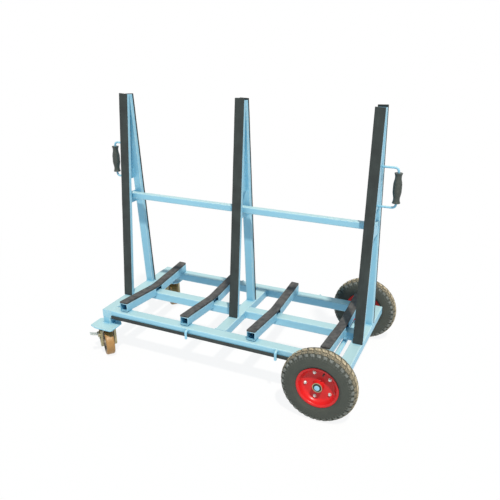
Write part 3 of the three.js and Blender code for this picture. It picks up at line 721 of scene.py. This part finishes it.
# bed bars: two half tubes in a shallow V under one rubber strip
bedBarLook = {"angle": 5, "height": 0.050, "corner": 0.004, "wall": 0.003, "bend": 0.012,
              "fit": 0.0003, "bridgeCorner": 0.0005, "bridgeEase": 0.0004, "stripThick": 0.012,
              "stripCorner": 0.003, "wave": 0.0004, "endSkew": 0.003, "step": 0.015}
bedSlope = tan(radians(bedBarLook["angle"]))
barHeight, stripThick = bedBarLook["height"], bedBarLook["stripThick"]
gap = centreHigh.y + bedBarLook["fit"]
for n in range(1, 5):
    low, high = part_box(f"bed_bar_{n}")
    x, width = (low.x + high.x) / 2, high.x - low.x
    floorZ = high.z - barHeight - high.y * bedSlope  # underside of the V at its middle
    axisZ, topZ = floorZ + barHeight / 2, floorZ + barHeight
    bm = bmesh.new()
    for side in (-1, 1):
        boxTube(bm, lambda s, u, v: Vector((x + u, side * s, axisZ + v + s * bedSlope)),
                gap, high.y, width, barHeight, bedBarLook["corner"], bedBarLook["wall"])
        for edge in (-1, 1):
            a, b = x + edge * width / 2, side * gap
            addSeam((a, b, floorZ + gap * bedSlope), (a, b, baseTop))
        y = side * railInner
        addSeam((x - width / 2, y, baseTop), (x + width / 2, y, baseTop))
    bridge = rectangle(width / 2 - bedBarLook["corner"], gap)
    plate(bm, rounded(bridge, bedBarLook["bridgeCorner"], steps=1),
          lambda u, v, w: Vector((x + u, v, w)), topZ - bedBarLook["wall"], topZ,
          bedBarLook["bridgeEase"])
    addBlueSteel(f"bedBar{n}", bm, f"bed_bar_{n}")
    stripZ = topZ + bedBarLook["fit"] + stripThick / 2
    skew = bedBarLook["endSkew"]

    def alongBar(s, u, v):
        return Vector((x + u, s, stripZ + v + bedSlope * hypot(s, bedBarLook["bend"])))

    bm = rubberStrip(alongBar, low.y, high.y, width, stripThick, bedBarLook, (skew, -skew),
                     bedBarLook["step"])
    addPiece(f"bedBar{n}Strip", bm, bedRubber, "frame", [f"bed_bar_{n}_strip"])
print("bed bars made")

# carrying handles: bent rods with turned grips
handleLook = {"radius": 0.006, "bend": 0.022, "bore": 0.0064, "ease": 0.0015,
              "ribs": 9, "ribPitch": 0.0052, "ribRadius": 0.0012, "ribCircle": 0.0214,
              # radius and share of half the grip's length
              "lands": ((0.0205, 1), (0.0203, 0.95), (0.0178, 0.86), (0.0165, 0.72), (0.0176, 0.57),
                        (0.0208, 0.38), (0.022, 0.15), (0.022, 0))}
for name, end in ends:
    low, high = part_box(f"{name}_handle_rod")
    radius = handleLook["radius"]
    root, tip = (low.x, high.x) if end > 0 else (high.x, low.x)
    reach = tip - end * radius
    zHigh, zLow = high.z - radius, low.z + radius
    corners = [Vector((root, 0, zHigh)), Vector((reach, 0, zHigh)), Vector((reach, 0, zLow)),
               Vector((root, 0, zLow))]
    bm = rod(bmesh.new(), bentPath(corners, handleLook["bend"]), (0, 1, 0), radius)
    addBlueSteel(f"{name}HandleRod", bm, f"{name}_handle_rod")
    for z in (zHigh, zLow):
        addRodSeam(lambda u, v: (root, u, z + v))

    low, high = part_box(f"{name}_handle_grip")
    middle, half = (low + high) / 2, (high.z - low.z) / 2
    upper = smoothRun([Vector((r, share * half)) for r, share in handleLook["lands"]], steps=5)
    outside = [Vector((p.x, -p.y)) for p in upper] + upper[-2::-1]
    first, last, ease, bore = outside[0], outside[-1], handleLook["ease"], handleLook["bore"]
    grip = [Vector((first.x - ease, first.y)), Vector((first.x, first.y + ease)), *outside[1:-1],
            Vector((last.x, last.y - ease)), Vector((last.x - ease, last.y)),
            Vector((bore, half)), Vector((bore, -half))]
    addPiece(f"{name}Grip", lathe(bmesh.new(), grip, middle, (0, 0, 1), segments=40), gripPlastic,
             f"{name}_grip", [f"{name}_handle_grip"])
    ribRadius, pitch = handleLook["ribRadius"], handleLook["ribPitch"]
    hoop = [(handleLook["ribCircle"] + ribRadius * cos(a), ribRadius * sin(a)) for a in turns(6)]
    rib = finishMesh("rib", lathe(bmesh.new(), hoop, (0, 0, 0), (0, 0, 1), segments=40), None)
    start = -pitch * (handleLook["ribs"] - 1) / 2
    ribs = grow(rowTree, rib, {
        "Count": handleLook["ribs"], "Start": middle + Vector((0, 0, start)),
        "Step": (0, 0, pitch), "Finish": gripPlastic})
    placeMesh(f"{name}GripRibs", ribs, f"{name}_grip", sharp=80)
print("handles made")

# axle: brackets under the rails and a shaft with a collar and a washer at each wheel
axleLook = {"radius": 0.014, "chamfer": 0.0015, "overrun": 0.002, "washer": 0.019,
            "washerThick": 0.004, "washerEase": 0.0006, "bite": 0.001, "bracketRadius": 0.024,
            "bracketEase": 0.0012, "hubLength": 0.064, "gap": 0.0005}
low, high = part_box("axle")
axleX, axleZ = (low.x + high.x) / 2, (low.z + high.z) / 2
half, radius, thick = high.y, axleLook["radius"], axleLook["washerThick"]
shaft = pinProfile(radius, half + axleLook["overrun"], axleLook["chamfer"], steps=3)
bm = lathe(bmesh.new(), shaft, (axleX, 0, axleZ), (0, 1, 0), segments=40)
bore, washer = radius - axleLook["bite"], axleLook["washer"]
collar = rounded([(bore, 0, 0), (washer, 0), (washer, thick), (bore, thick, 0)],
                 axleLook["washerEase"], steps=3)
for side in (-1, 1):
    y = half - 2 * thick - 2 * axleLook["gap"] - axleLook["hubLength"]
    lathe(bm, collar, (axleX, side * y, axleZ), (0, side, 0), segments=40)
addBlueSteel("axleShaft", bm, "axle")
bm = bmesh.new()
for side in (-1, 1):
    lathe(bm, collar, (axleX, side * (half - thick), axleZ), (0, side, 0), segments=40)
addPiece("axleSeals", bm, stripRubber, "frame")
for name in ("front", "rear"):
    low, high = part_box(f"{name}_axle_bracket")
    radius = axleLook["bracketRadius"]
    angles = [pi * (1 + k / 16) for k in range(17)]
    outline = [Vector((axleX + radius * cos(a), axleZ + radius * sin(a))) for a in angles]
    outline += [Vector((high.x, high.z)), Vector((low.x, high.z))]
    bm = plate(bmesh.new(), outline, lambda u, v, w: Vector((u, w, v)), low.y, high.y,
               axleLook["bracketEase"])
    addBlueSteel(f"{name}AxleBracket", bm, f"{name}_axle_bracket")
    for y in (low.y, high.y):
        addSeam((low.x, y, high.z), (high.x, y, high.z))
print("axle made")

# large wheels: tyre carcass, tread blocks, dished rim, bolts, bearing and valve
tyreShape = {"bead": 0.1123, "seat": 0.1043, "beadHalf": 0.0327, "toe": 0.009, "tread": 0.2,
             "half": 0.049, "squareness": 0.75, "wall": 0.009, "depth": 0.0065, "depthAt": (26, 44),
             "arc": (176, 4), "arcSteps": 115, "sideFrom": 0.012, "sideDrop": 0.4,
             "innerDrop": 0.003, "innerShare": 0.84,
             "pitches": 35, "phase": 0.4, "crownDust": 0.6, "crownHalf": 0.024,
             # raised rings on the side: angle in degrees and height, and their width in degrees
             "ringBumps": ((14, 0.0009), (21, 0.0006), (30, 0.0007)), "ringWidth": 1.1,
             "blockEase": 0.06, "blockEdge": 0.0012, "blockRoot": 0.0015,
             # middle and width in degrees, shift and share of a pitch, slant, strength of its top
             # layer, lift, and kind of layer: dust on the crown rows, a painted highlight on the
             # lug rows
             "rows": ((90, 16, 0, 0.78, 0.007, 1.0, 0, "dust"),
                      (66, 15, 0.5, 0.74, 0.005, 0.36, 0, "dust"),
                      (47, 14, 0.06, 0.66, 0.002, 0.55, 0.0035, "lugHighlight"),
                      (34.5, 8, 0, 0.3, 0, 0.1, 0.002, "lugHighlight"),
                      (34.5, 8, 0.5, 0.3, 0, 0.1, 0.002, "lugHighlight"))}
wheelY = sum(abs(c.y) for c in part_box("rear_wheel_tyre")) / 2
pitchArc = 2 * pi * tyreShape["tread"] / tyreShape["pitches"]


def tyreSkin(theta, drop):  # radius and distance from the wheel's middle plane, theta in degrees
    sine, cosine = sin(radians(theta)), cos(radians(theta))
    power, bead = tyreShape["squareness"], tyreShape["bead"]
    radius = bead + (tyreShape["tread"] - bead - drop) * max(sine, 0) ** power
    half = tyreShape["half"] - tyreShape["sideDrop"] * drop
    return radius, copysign(half * abs(cosine) ** power, cosine)


def carcassDrop(theta):  # the carcass lies a tread depth below the block tops
    start, span = tyreShape["depthAt"]
    rise = min(max((min(theta, 180 - theta) - start) / span, 0), 1)
    return tyreShape["depth"] * rise * rise * (3 - 2 * rise)


def carcassProfile():
    bead, seat, half = tyreShape["bead"], tyreShape["seat"], tyreShape["beadHalf"]
    (first, last), steps = tyreShape["arc"], tyreShape["arcSteps"]
    profile = [(seat, -half), (bead, -half)]
    for k in range(steps + 1):
        theta = first + (last - first) * k / steps
        radius, across = tyreSkin(theta, carcassDrop(theta))
        lift = sum(h * exp(-((min(theta, 180 - theta) - t) / tyreShape["ringWidth"]) ** 2)
                   for t, h in tyreShape["ringBumps"])
        if radius > bead + tyreShape["sideFrom"]:
            profile.append((radius, across + copysign(lift, across)))
    profile += [(bead, half), (seat, half), (seat, half - tyreShape["toe"])]
    for k in range(1, 12):  # the inside
        radius, across = tyreSkin(15 * k, tyreShape["wall"])
        profile.append((radius - tyreShape["innerDrop"], across * tyreShape["innerShare"]))
    return profile + [(seat, tyreShape["toe"] - half)]


def treadBlock(bm, thetaFrom, thetaTo, start, end, slant, dustAndHighlight, lift, layer):
    ease, edge = tyreShape["blockEase"] * (thetaTo - thetaFrom), tyreShape["blockEdge"]
    stations = [(thetaFrom, edge), (thetaFrom + ease, 0), ((thetaFrom + thetaTo) / 2, 0),
                (thetaTo - ease, 0), (thetaTo, edge)]
    rings, weights = [], []
    for i, (theta, drop) in enumerate(stations):
        shift, low = slant * (i - 2) / 2, drop - lift
        base = carcassDrop(theta) + tyreShape["blockRoot"]
        spots = ((start, base, 0), (start + edge / 2, low + edge, 0.5),
                 (start + 1.5 * edge, low, 1), (end - 1.5 * edge, low, 1),
                 (end - edge / 2, low + edge, 0.5), (end, base, 0))
        ring = []
        for arc, depth, mark in spots:
            radius, across = tyreSkin(theta, depth)
            angle = (arc + shift) / tyreShape["tread"]
            ring.append(Vector((radius * cos(angle), across, radius * sin(angle))))
        rings.append(ring)
        weights.append([mark * dustAndHighlight for arc, depth, mark in spots])
    loft(bm, rings, weights=weights, layer=layer)


# profiles give radius, place along the axle towards the outer side, and sometimes a corner's radius
wheelLook = {
    "bolts": 5, "boltCircle": 0.071, "boltAngle": 38.4, "boltHead": (0.0074, 0.006, 0.0088),
    "discFace": 0.004, "valveAngle": 70, "valveCircle": 0.0885, "valveRise": 0.0115,
    "valveSlope": (0.9, 0.43),
    # radius of the corners that give none, and steps round a corner
    "ease": {"rim": (0.0008, 4), "race": (0.0006, 3), "seal": (0.0005, 3), "valve": (0.0004, 3)},
    "rim": ((0.0146, -0.032), (0.027, -0.032), (0.027, 0, 0.003), (0.082, 0, 0.006),
            (0.0995, 0.012, 0.004), (0.0995, -0.034, 0.004), (0.1062, -0.0372, 0.003),
            (0.1118, -0.0368, 0.0018), (0.1118, -0.0334, 0.0014), (0.104, -0.0332, 0.0015),
            (0.104, 0.0332, 0.0015), (0.1118, 0.0334, 0.0014), (0.1118, 0.0368, 0.0018),
            (0.1062, 0.0372, 0.003), (0.0985, 0.034, 0.006), (0.0925, 0.0165, 0.006),
            (0.082, 0.004, 0.008), (0.031, 0.004, 0.003), (0.027, 0.008, 0.003),
            (0.027, 0.0315, 0.0015), (0.0146, 0.0315)),
    "race": ((0.0215, 0.0295), (0.0262, 0.0295), (0.0262, 0.0332), (0.0215, 0.0332)),
    "seal": ((0.0174, 0.029), (0.0215, 0.029), (0.0215, 0.0318), (0.0195, 0.0321),
             (0.0174, 0.0318)),
    "valve": ((0, 0, 0), (0.0055, 0, 0.0005), (0.0055, 0.004), (0.0042, 0.006), (0.0036, 0.014),
              (0.0041, 0.0145), (0.0041, 0.0215, 0.001), (0.0028, 0.0235), (0, 0.0235, 0))}
rim, race, seal, valve = [rounded(wheelLook[part], *ease)
                          for part, ease in wheelLook["ease"].items()]
valveAngle = radians(wheelLook["valveAngle"])
spoke = Vector((cos(valveAngle), 0, sin(valveAngle)))
for name, side in sides:
    wheel = f"{name}_wheel"
    centre = Vector((axleX, side * wheelY, axleZ))
    outward = Vector((0, side, 0))
    bm = lathe(bmesh.new(), carcassProfile(), centre, outward, segments=96)
    dustLayer = bm.verts.layers.float.new("dust")
    for vert in bm.verts:
        onCrown = abs(vert.co.y - centre.y) < tyreShape["crownHalf"]
        vert[dustLayer] = tyreShape["crownDust"] if onCrown else 0
    addPiece(f"{name}TyreCarcass", bm, tyreRubber, wheel, [f"{name}_wheel_tyre"],
             sharp=50)

    bm = bmesh.new()
    for middle, width, shift, share, slant, dustAndHighlight, lift, layer in tyreShape["rows"]:
        for hand in (1, -1) if middle < 90 else (1,):
            theta = 90 - hand * (90 - middle)
            start = (shift + (0.5 if hand < 0 else 0)) * pitchArc
            treadBlock(bm, theta + hand * width / 2, theta - hand * width / 2, start,
                       start + share * pitchArc, slant * hand, dustAndHighlight, lift, layer)
    blocks = grow(ringTree, finishMesh("treadPitch", bm, None), {
        "Count": tyreShape["pitches"], "Phase": tyreShape["phase"], "Centre": centre,
        "Finish": tyreRubber})
    placeMesh(f"{name}TyreTread", blocks, wheel, sharp=60)

    bm = lathe(bmesh.new(), rim, centre, outward, segments=96)
    addPiece(f"{name}Rim", bm, redEnamel, wheel, [f"{name}_wheel_rim"], sharp=45)
    foot = (wheelLook["boltCircle"], side * wheelLook["discFace"], 0)
    bm = hexHead(bmesh.new(), foot, outward, *wheelLook["boltHead"])
    bolts = grow(ringTree, finishMesh("wheelBolt", bm, None), {
        "Count": wheelLook["bolts"], "Phase": -radians(wheelLook["boltAngle"]), "Centre": centre,
        "Finish": brightSteel})
    placeMesh(f"{name}RimBolts", bolts, wheel, sharp=30)
    for part, profile, material, slotName in (
            ("Race", race, zincSteel, "zinc_steel"), ("Seal", seal, stripRubber, "black_rubber")):
        bm = lathe(bmesh.new(), profile, centre, outward, segments=48)
        addPiece(f"{name}Bearing{part}", bm, material, wheel, sharp=45)
    root = centre + spoke * wheelLook["valveCircle"] + outward * wheelLook["valveRise"]
    rise, lean = wheelLook["valveSlope"]
    bm = lathe(bmesh.new(), valve, root, outward * rise - spoke * lean, segments=20)
    addPiece(f"{name}Valve", bm, stripRubber, wheel, sharp=45)
print("large wheels made")

# swivel casters: carrier, top plate, pressed fork, brake pedal and wheel
casterLook = {
    "turn": -42, "trail": 0.02, "radius": 0.075, "plateCorner": 0.01, "plateEase": 0.0006,
    "plateBolt": (0.0085, 0.006, 0.0105), "boltInset": 0.026,  # radius, height and washer
    "carrierThick": 0.008, "carrierCorner": 0.026, "carrierSlope": (0.045, 0.018),
    "carrierNear": 0.010, "carrierRound": 0.003, "carrierEase": 0.001,
    "riser": 0.05, "riserCorner": 0.005,
    "crownLow": 0.159, "crownHigh": 0.166, "crownCorner": 0.006, "crownEase": 0.0015, "head": 0.033,
    "cheekIn": 0.033, "cheekOut": 0.047, "cheekWall": 0.005, "endRadius": 0.02, "shoulder": 0.03,
    "endArc": (1.12, 0.98), "shoulderBend": 0.010, "cheekCorner": 0.002,
    "axleNut": (0.0105, 0.0072, 0.0125),
    # eased edges of a cheek: inner, outer, lip of its hollow and bottom of its hollow
    "cheekEase": (0.0008, 0.0015, 0.001, 0.002),
    "lug": ((-0.0615, 0.125, 0.006), (-0.036, 0.123), (-0.036, 0.143), (-0.0615, 0.141, 0.006)),
    "lugCorner": 0.001, "lugGap": 0.0025, "lugHalf": 0.002, "lugEase": 0.0005,
    "pinX": 0.02 / 3, "pinY": -0.053, "pinZ": 0.133, "pinRadius": 0.004, "pinHalf": 0.0215,
    "pinEase": 0.0008,
    "pedalWidth": 0.034, "pedalThick": 0.0044, "pedalEase": 0.0008,
    "pedal": ((-0.1035, 0.1495), (-0.098, 0.1468), (-0.082, 0.1412), (-0.062, 0.1362),
              (-0.0545, 0.1325), (-0.053, 0.126), (-0.053, 0.108)),
    "ribs": 5, "ribPitch": 0.0055, "ribRadius": 0.0012, "ribInset": 0.003, "ribEase": 0.0004,
    "ribStart": (0, -0.0735, 0.1414), "ribSlope": (0, -0.016, 0.0056),
    # radius, place along the axis, and sometimes a corner's radius, as for the large wheels
    "ease": {"race": (0.0006, 3), "tread": (0.002, 5), "core": (0.0008, 4)},
    "race": ((0.012, 0), (0.032, 0, 0.002), (0.032, 0.0035, 0.0012), (0.029, 0.0048, 0.001),
             (0.029, 0.0062, 0.001), (0.033, 0.0074, 0.001), (0.033, 0.0118, 0.002),
             (0.012, 0.0118)),
    "tread": ((0.0603, -0.025, 0.0006), (0.0715, -0.025, 0.004), (0.0748, -0.018, 0.006),
              (0.075, 0, 0.004), (0.0748, 0.018, 0.006), (0.0715, 0.025, 0.004),
              (0.0603, 0.025, 0.0006)),
    "core": ((0.0066, -0.0324), (0.0145, -0.0324, 0.001), (0.022, -0.028, 0.003),
             (0.022, -0.013, 0.004), (0.053, -0.011, 0.004), (0.0545, -0.0242, 0.001),
             (0.06, -0.0248), (0.06, 0.0248), (0.0545, 0.0242, 0.001), (0.053, 0.011, 0.004),
             (0.022, 0.013, 0.004), (0.022, 0.028, 0.003), (0.0145, 0.0324, 0.001),
             (0.0066, 0.0324))}
c = casterLook
wall, pedalHalf = c["cheekWall"], c["pedalWidth"] / 2


def cheekOutline():  # a fork leg from the side, round its lower end
    head, top, bottom = c["head"], c["crownHigh"], c["crownHigh"] - c["shoulder"]
    points = [(-head, top, c["cheekCorner"]), (-head, bottom, c["shoulderBend"])]
    start, span = c["endArc"]  # in half turns
    for k in range(17):
        angle = pi * (start + span * k / 16)
        points.append((c["trail"] + c["endRadius"] * cos(angle),
                       c["radius"] + c["endRadius"] * sin(angle), c["cheekCorner"]))
    points += [(head, bottom, c["shoulderBend"]), (head, top, c["cheekCorner"])]
    return rounded(points, c["cheekCorner"])


def pedalOutline():  # the bent sheet of the pedal from the side
    spine = smoothRun([Vector(p) for p in c["pedal"]], steps=6)
    upper, lower = [], []
    for i, p in enumerate(spine):
        ahead = (spine[min(i + 1, len(spine) - 1)] - spine[max(i - 1, 0)]).normalized()
        normal = Vector((-ahead.y, ahead.x))
        upper.append(p + normal * c["pedalThick"] / 2)
        lower.append(p - normal * c["pedalThick"] / 2)
    return lower + upper[::-1]


def forkMesh():
    bm = bmesh.new()
    crown = rounded(rectangle(c["head"], c["cheekOut"]), c["crownCorner"])
    plate(bm, crown, lambda u, v, w: Vector((u, v, w)), c["crownLow"], c["crownHigh"],
          c["crownEase"])
    race = rounded(c["race"], *c["ease"]["race"])
    lathe(bm, race, (0, 0, c["crownHigh"]), (0, 0, 1), segments=48)
    cheek, inY, outY = cheekOutline(), c["cheekIn"], c["cheekOut"]
    inner, outer, lip, bottom = c["cheekEase"]
    stations = [(inset(cheek, distance), y) for distance, y in (
        (inner, inY), (0, inY + inner), (0, outY - outer), (outer, outY), (wall - lip, outY),
        (wall, outY - lip), (wall, inY + wall + bottom), (wall + bottom, inY + wall))]
    lug = rounded(c["lug"], c["lugCorner"], steps=5)
    for hand in (-1, 1):
        loft(bm, [[Vector((p.x, hand * y, p.y)) for p in shape] for shape, y in stations])
        x = c["pinX"] + hand * (pedalHalf + c["lugGap"])
        plate(bm, lug, lambda u, v, w: Vector((w, u, v)), x - c["lugHalf"], x + c["lugHalf"],
              c["lugEase"])
        hexHead(bm, (c["trail"], hand * (inY + wall), c["radius"]), (0, hand, 0), *c["axleNut"])
    return bm


for name, side in sides:
    low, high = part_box(f"{name}_caster_plate")
    swivel = Vector(((low.x + high.x) / 2, (low.y + high.y) / 2, 0))
    turned = Matrix.Translation(swivel) @ Matrix.Rotation(radians(c["turn"]), 4, "Z")
    size, carrierLow, carrierHigh = high - low, high.z, high.z + c["carrierThick"]
    outline = rounded(rectangle(size.x / 2, size.y / 2), c["plateCorner"], steps=6)
    bm = plate(bmesh.new(), outline, lambda u, v, w: Vector((swivel.x + u, swivel.y + v, w)),
               low.z, high.z, c["plateEase"])
    addPiece(f"{name}CasterPlate", bm, zincSteel, "frame", [f"{name}_caster_plate"])
    bm = hexHead(bmesh.new(), (0, 0, 0), (0, 0, -1), *c["plateBolt"])
    bolts = grow(cornerTree, finishMesh("plateBolt", bm, None), {
        "Length": size.x - c["boltInset"], "Width": size.y - c["boltInset"],
        "Centre": (swivel.x, swivel.y, low.z), "Finish": brightSteel})
    placeMesh(f"{name}CasterPlateBolts", bolts, "frame", sharp=30)

    low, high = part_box(f"{name}_caster_mount")
    middle, a, b = (low + high) / 2, (high.x - low.x) / 2, (high.y - low.y) / 2
    cut, (longCut, shallowCut), nearCut = c["carrierCorner"], c["carrierSlope"], c["carrierNear"]
    corners = [(-a, shallowCut - b), (longCut - a, -b), (a - nearCut, -b), (a, nearCut - b),
               (a, b - cut), (a - cut, b), (cut - a, b), (-a, b - cut)]  # -b is the outer edge
    bm = plate(bmesh.new(), rounded(corners, c["carrierRound"]),
               lambda u, v, w: Vector((middle.x + u, middle.y - side * v, w)),
               carrierLow, carrierHigh, c["carrierEase"])
    endLow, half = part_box("left_end_crossmember")[0], c["riser"] / 2
    riser = Vector((endLow.x + half, side * (abs(endLow.y) - half)))
    boxTube(bm, lambda s, u, v: Vector((riser.x + u, riser.y + v, s)),
            carrierHigh - c["carrierEase"], baseBottom, c["riser"], c["riser"], c["riserCorner"])
    addBlueSteel(f"{name}CasterCarrier", bm, f"{name}_caster_mount")
    square = rectangle(half, half)
    addSeam(*[(riser.x + u, riser.y + v, carrierHigh) for u, v in square + square[:1]])

    addPiece(f"{name}CasterFork", forkMesh(), zincSteel, f"{name}_caster_swivel",
             [f"{name}_caster_fork"], turned, sharp=32)
    bm = plate(bmesh.new(), pedalOutline(), lambda u, v, w: Vector((w, u, v)),
               c["pinX"] - pedalHalf, c["pinX"] + pedalHalf, c["pedalEase"])
    pin = pinProfile(c["pinRadius"], c["pinHalf"], c["pinEase"], steps=3)
    lathe(bm, pin, (c["pinX"], c["pinY"], c["pinZ"]), (1, 0, 0), segments=24)
    addPiece(f"{name}BrakePedal", bm, brightSteel, f"{name}_caster_brake",
             [f"{name}_caster_pedal"], turned, sharp=32)
    ridge = pinProfile(c["ribRadius"], pedalHalf - c["ribInset"], c["ribEase"], steps=2)
    bm = lathe(bmesh.new(), ridge, (c["pinX"], 0, 0), (1, 0, 0), segments=8)
    ribs = grow(rowTree, finishMesh("pedalRib", bm, None), {
        "Count": c["ribs"], "Start": c["ribStart"],
        "Step": Vector(c["ribSlope"]).normalized() * c["ribPitch"], "Finish": brightSteel})
    ribs.transform(turned)
    placeMesh(f"{name}BrakePedalRibs", ribs, f"{name}_caster_brake", sharp=60)

    hub = (c["trail"], 0, c["radius"])
    for part, material, slotName in (
            ("tread", urethane, "urethane"), ("core", castIron, "cast_core")):
        profile = rounded(c[part], *c["ease"][part])
        bm = lathe(bmesh.new(), profile, hub, (0, 1, 0), segments=80)
        addPiece(f"{name}Caster{part.title()}", bm, material, f"{name}_caster_wheel",
                 [f"{name}_caster_{part}"], turned)
print("casters made")

# weld beads on the frame
beadLook = {"pitch": 0.0042, "radius": 0.0028, "seed": 7}
bm = bmesh.new()
for seam in seams:
    verts = [bm.verts.new(p) for p in seam]
    for a, b in zip(verts, verts[1:]):
        bm.edges.new((a, b))
seamMesh = bpy.data.meshes.new("seams")
bm.to_mesh(seamMesh)
bm.free()
beads = grow(beadTree, seamMesh, {"Pitch": beadLook["pitch"], "Radius": beadLook["radius"],
                                  "Seed": beadLook["seed"], "Finish": blueEnamel})
placeMesh("weldBeads", beads, "frame", sharp=80)
print("weld beads made:", len(beads.polygons), "faces")

# floor, light and camera
stageLook = {"floor": "#E8E9EA", "reach": 30, "paper": 0.9, "paperFrom": 1.0, "paperTo": 3.0,
             "ambient": "#B8E7FF", "ambientStrength": 0.43}


def seenRays(tree):  # rays that show the backdrop: to the camera, in gloss and through glass
    rays = addNode(tree, "ShaderNodeLightPath").outputs
    seen = rays["Is Camera Ray"]
    for kind in ("Is Glossy Ray", "Is Transmission Ray"):
        either = addNode(tree, "ShaderNodeMath", {0: seen, 1: rays[kind]}, operation="MAXIMUM")
        seen = either.outputs[0]
    return seen


paleFloor, tree, place = startMaterial("paleStudioFloor")
away = addNode(tree, "ShaderNodeVectorMath", {0: place}, operation="LENGTH")
fade = addNode(tree, "ShaderNodeMapRange", {
    0: away.outputs["Value"], 1: stageLook["paperFrom"], 2: stageLook["paperTo"],
    3: stageLook["paper"], 4: 1.0})
share = addNode(tree, "ShaderNodeMath", {0: seenRays(tree), 1: fade.outputs[0]},
                operation="MULTIPLY")
matt = addNode(tree, "ShaderNodeBsdfDiffuse", {"Color": linear(stageLook["floor"])})
white = addNode(tree, "ShaderNodeEmission", {"Color": (1, 1, 1, 1), "Strength": 1.0})
both = addNode(tree, "ShaderNodeMixShader", {
    0: share.outputs[0], 1: matt.outputs[0], 2: white.outputs[0]})
addNode(tree, "ShaderNodeOutputMaterial", {"Surface": both.outputs[0]})
floorMesh = bpy.data.meshes.new("studioFloor")
corners = [(x, y, 0) for x, y in rectangle(stageLook["reach"], stageLook["reach"])]
floorMesh.from_pydata(corners, [], [(0, 1, 2, 3)])
floorMesh.materials.append(paleFloor)
floor = bpy.data.objects.new("studioFloor", floorMesh)
scene.collection.objects.link(floor)
floor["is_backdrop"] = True

world = bpy.data.worlds.new("softStudio")
world.use_nodes = True
tree = world.node_tree
tree.nodes.clear()
soft = addNode(tree, "ShaderNodeBackground", {
    0: linear(stageLook["ambient"]), 1: stageLook["ambientStrength"]})
paper = addNode(tree, "ShaderNodeBackground", {0: (1, 1, 1, 1), 1: 1.0})
both = addNode(tree, "ShaderNodeMixShader", {
    0: seenRays(tree), 1: soft.outputs[0], 2: paper.outputs[0]})
addNode(tree, "ShaderNodeOutputWorld", {"Surface": both.outputs[0]})
scene.world = world

lampLook = {"from": (0.7, -1, 2.17), "spread": 2.5, "strength": 3.6, "colour": "#FFF3E5"}
lamp = bpy.data.lights.new("keyLamp", "SUN")
lamp.angle = radians(lampLook["spread"])
lamp.energy = lampLook["strength"]
lamp.color = linear(lampLook["colour"])[:3]
holder = bpy.data.objects.new("keyLamp", lamp)
holder.location = Vector(lampLook["from"]) * 2
holder.rotation_euler = (-Vector(lampLook["from"])).to_track_quat("-Z", "Y").to_euler()
scene.collection.objects.link(holder)

cameraLook = {"place": (1.32527, -2.81866, 1.84971), "tilt": 69.023, "heading": 24.395,
              "lens": 41.119, "sensor": 36}
cameraData = bpy.data.cameras.new("photoCamera")
cameraData.sensor_width = cameraLook["sensor"]
cameraData.lens = cameraLook["lens"]
camera = bpy.data.objects.new("photoCamera", cameraData)
camera.location = cameraLook["place"]
camera.rotation_euler = (radians(cameraLook["tilt"]), 0, radians(cameraLook["heading"]))
scene.collection.objects.link(camera)
scene.camera = camera
scene.view_settings.view_transform = "Standard"
print("stage made")

low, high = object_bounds()
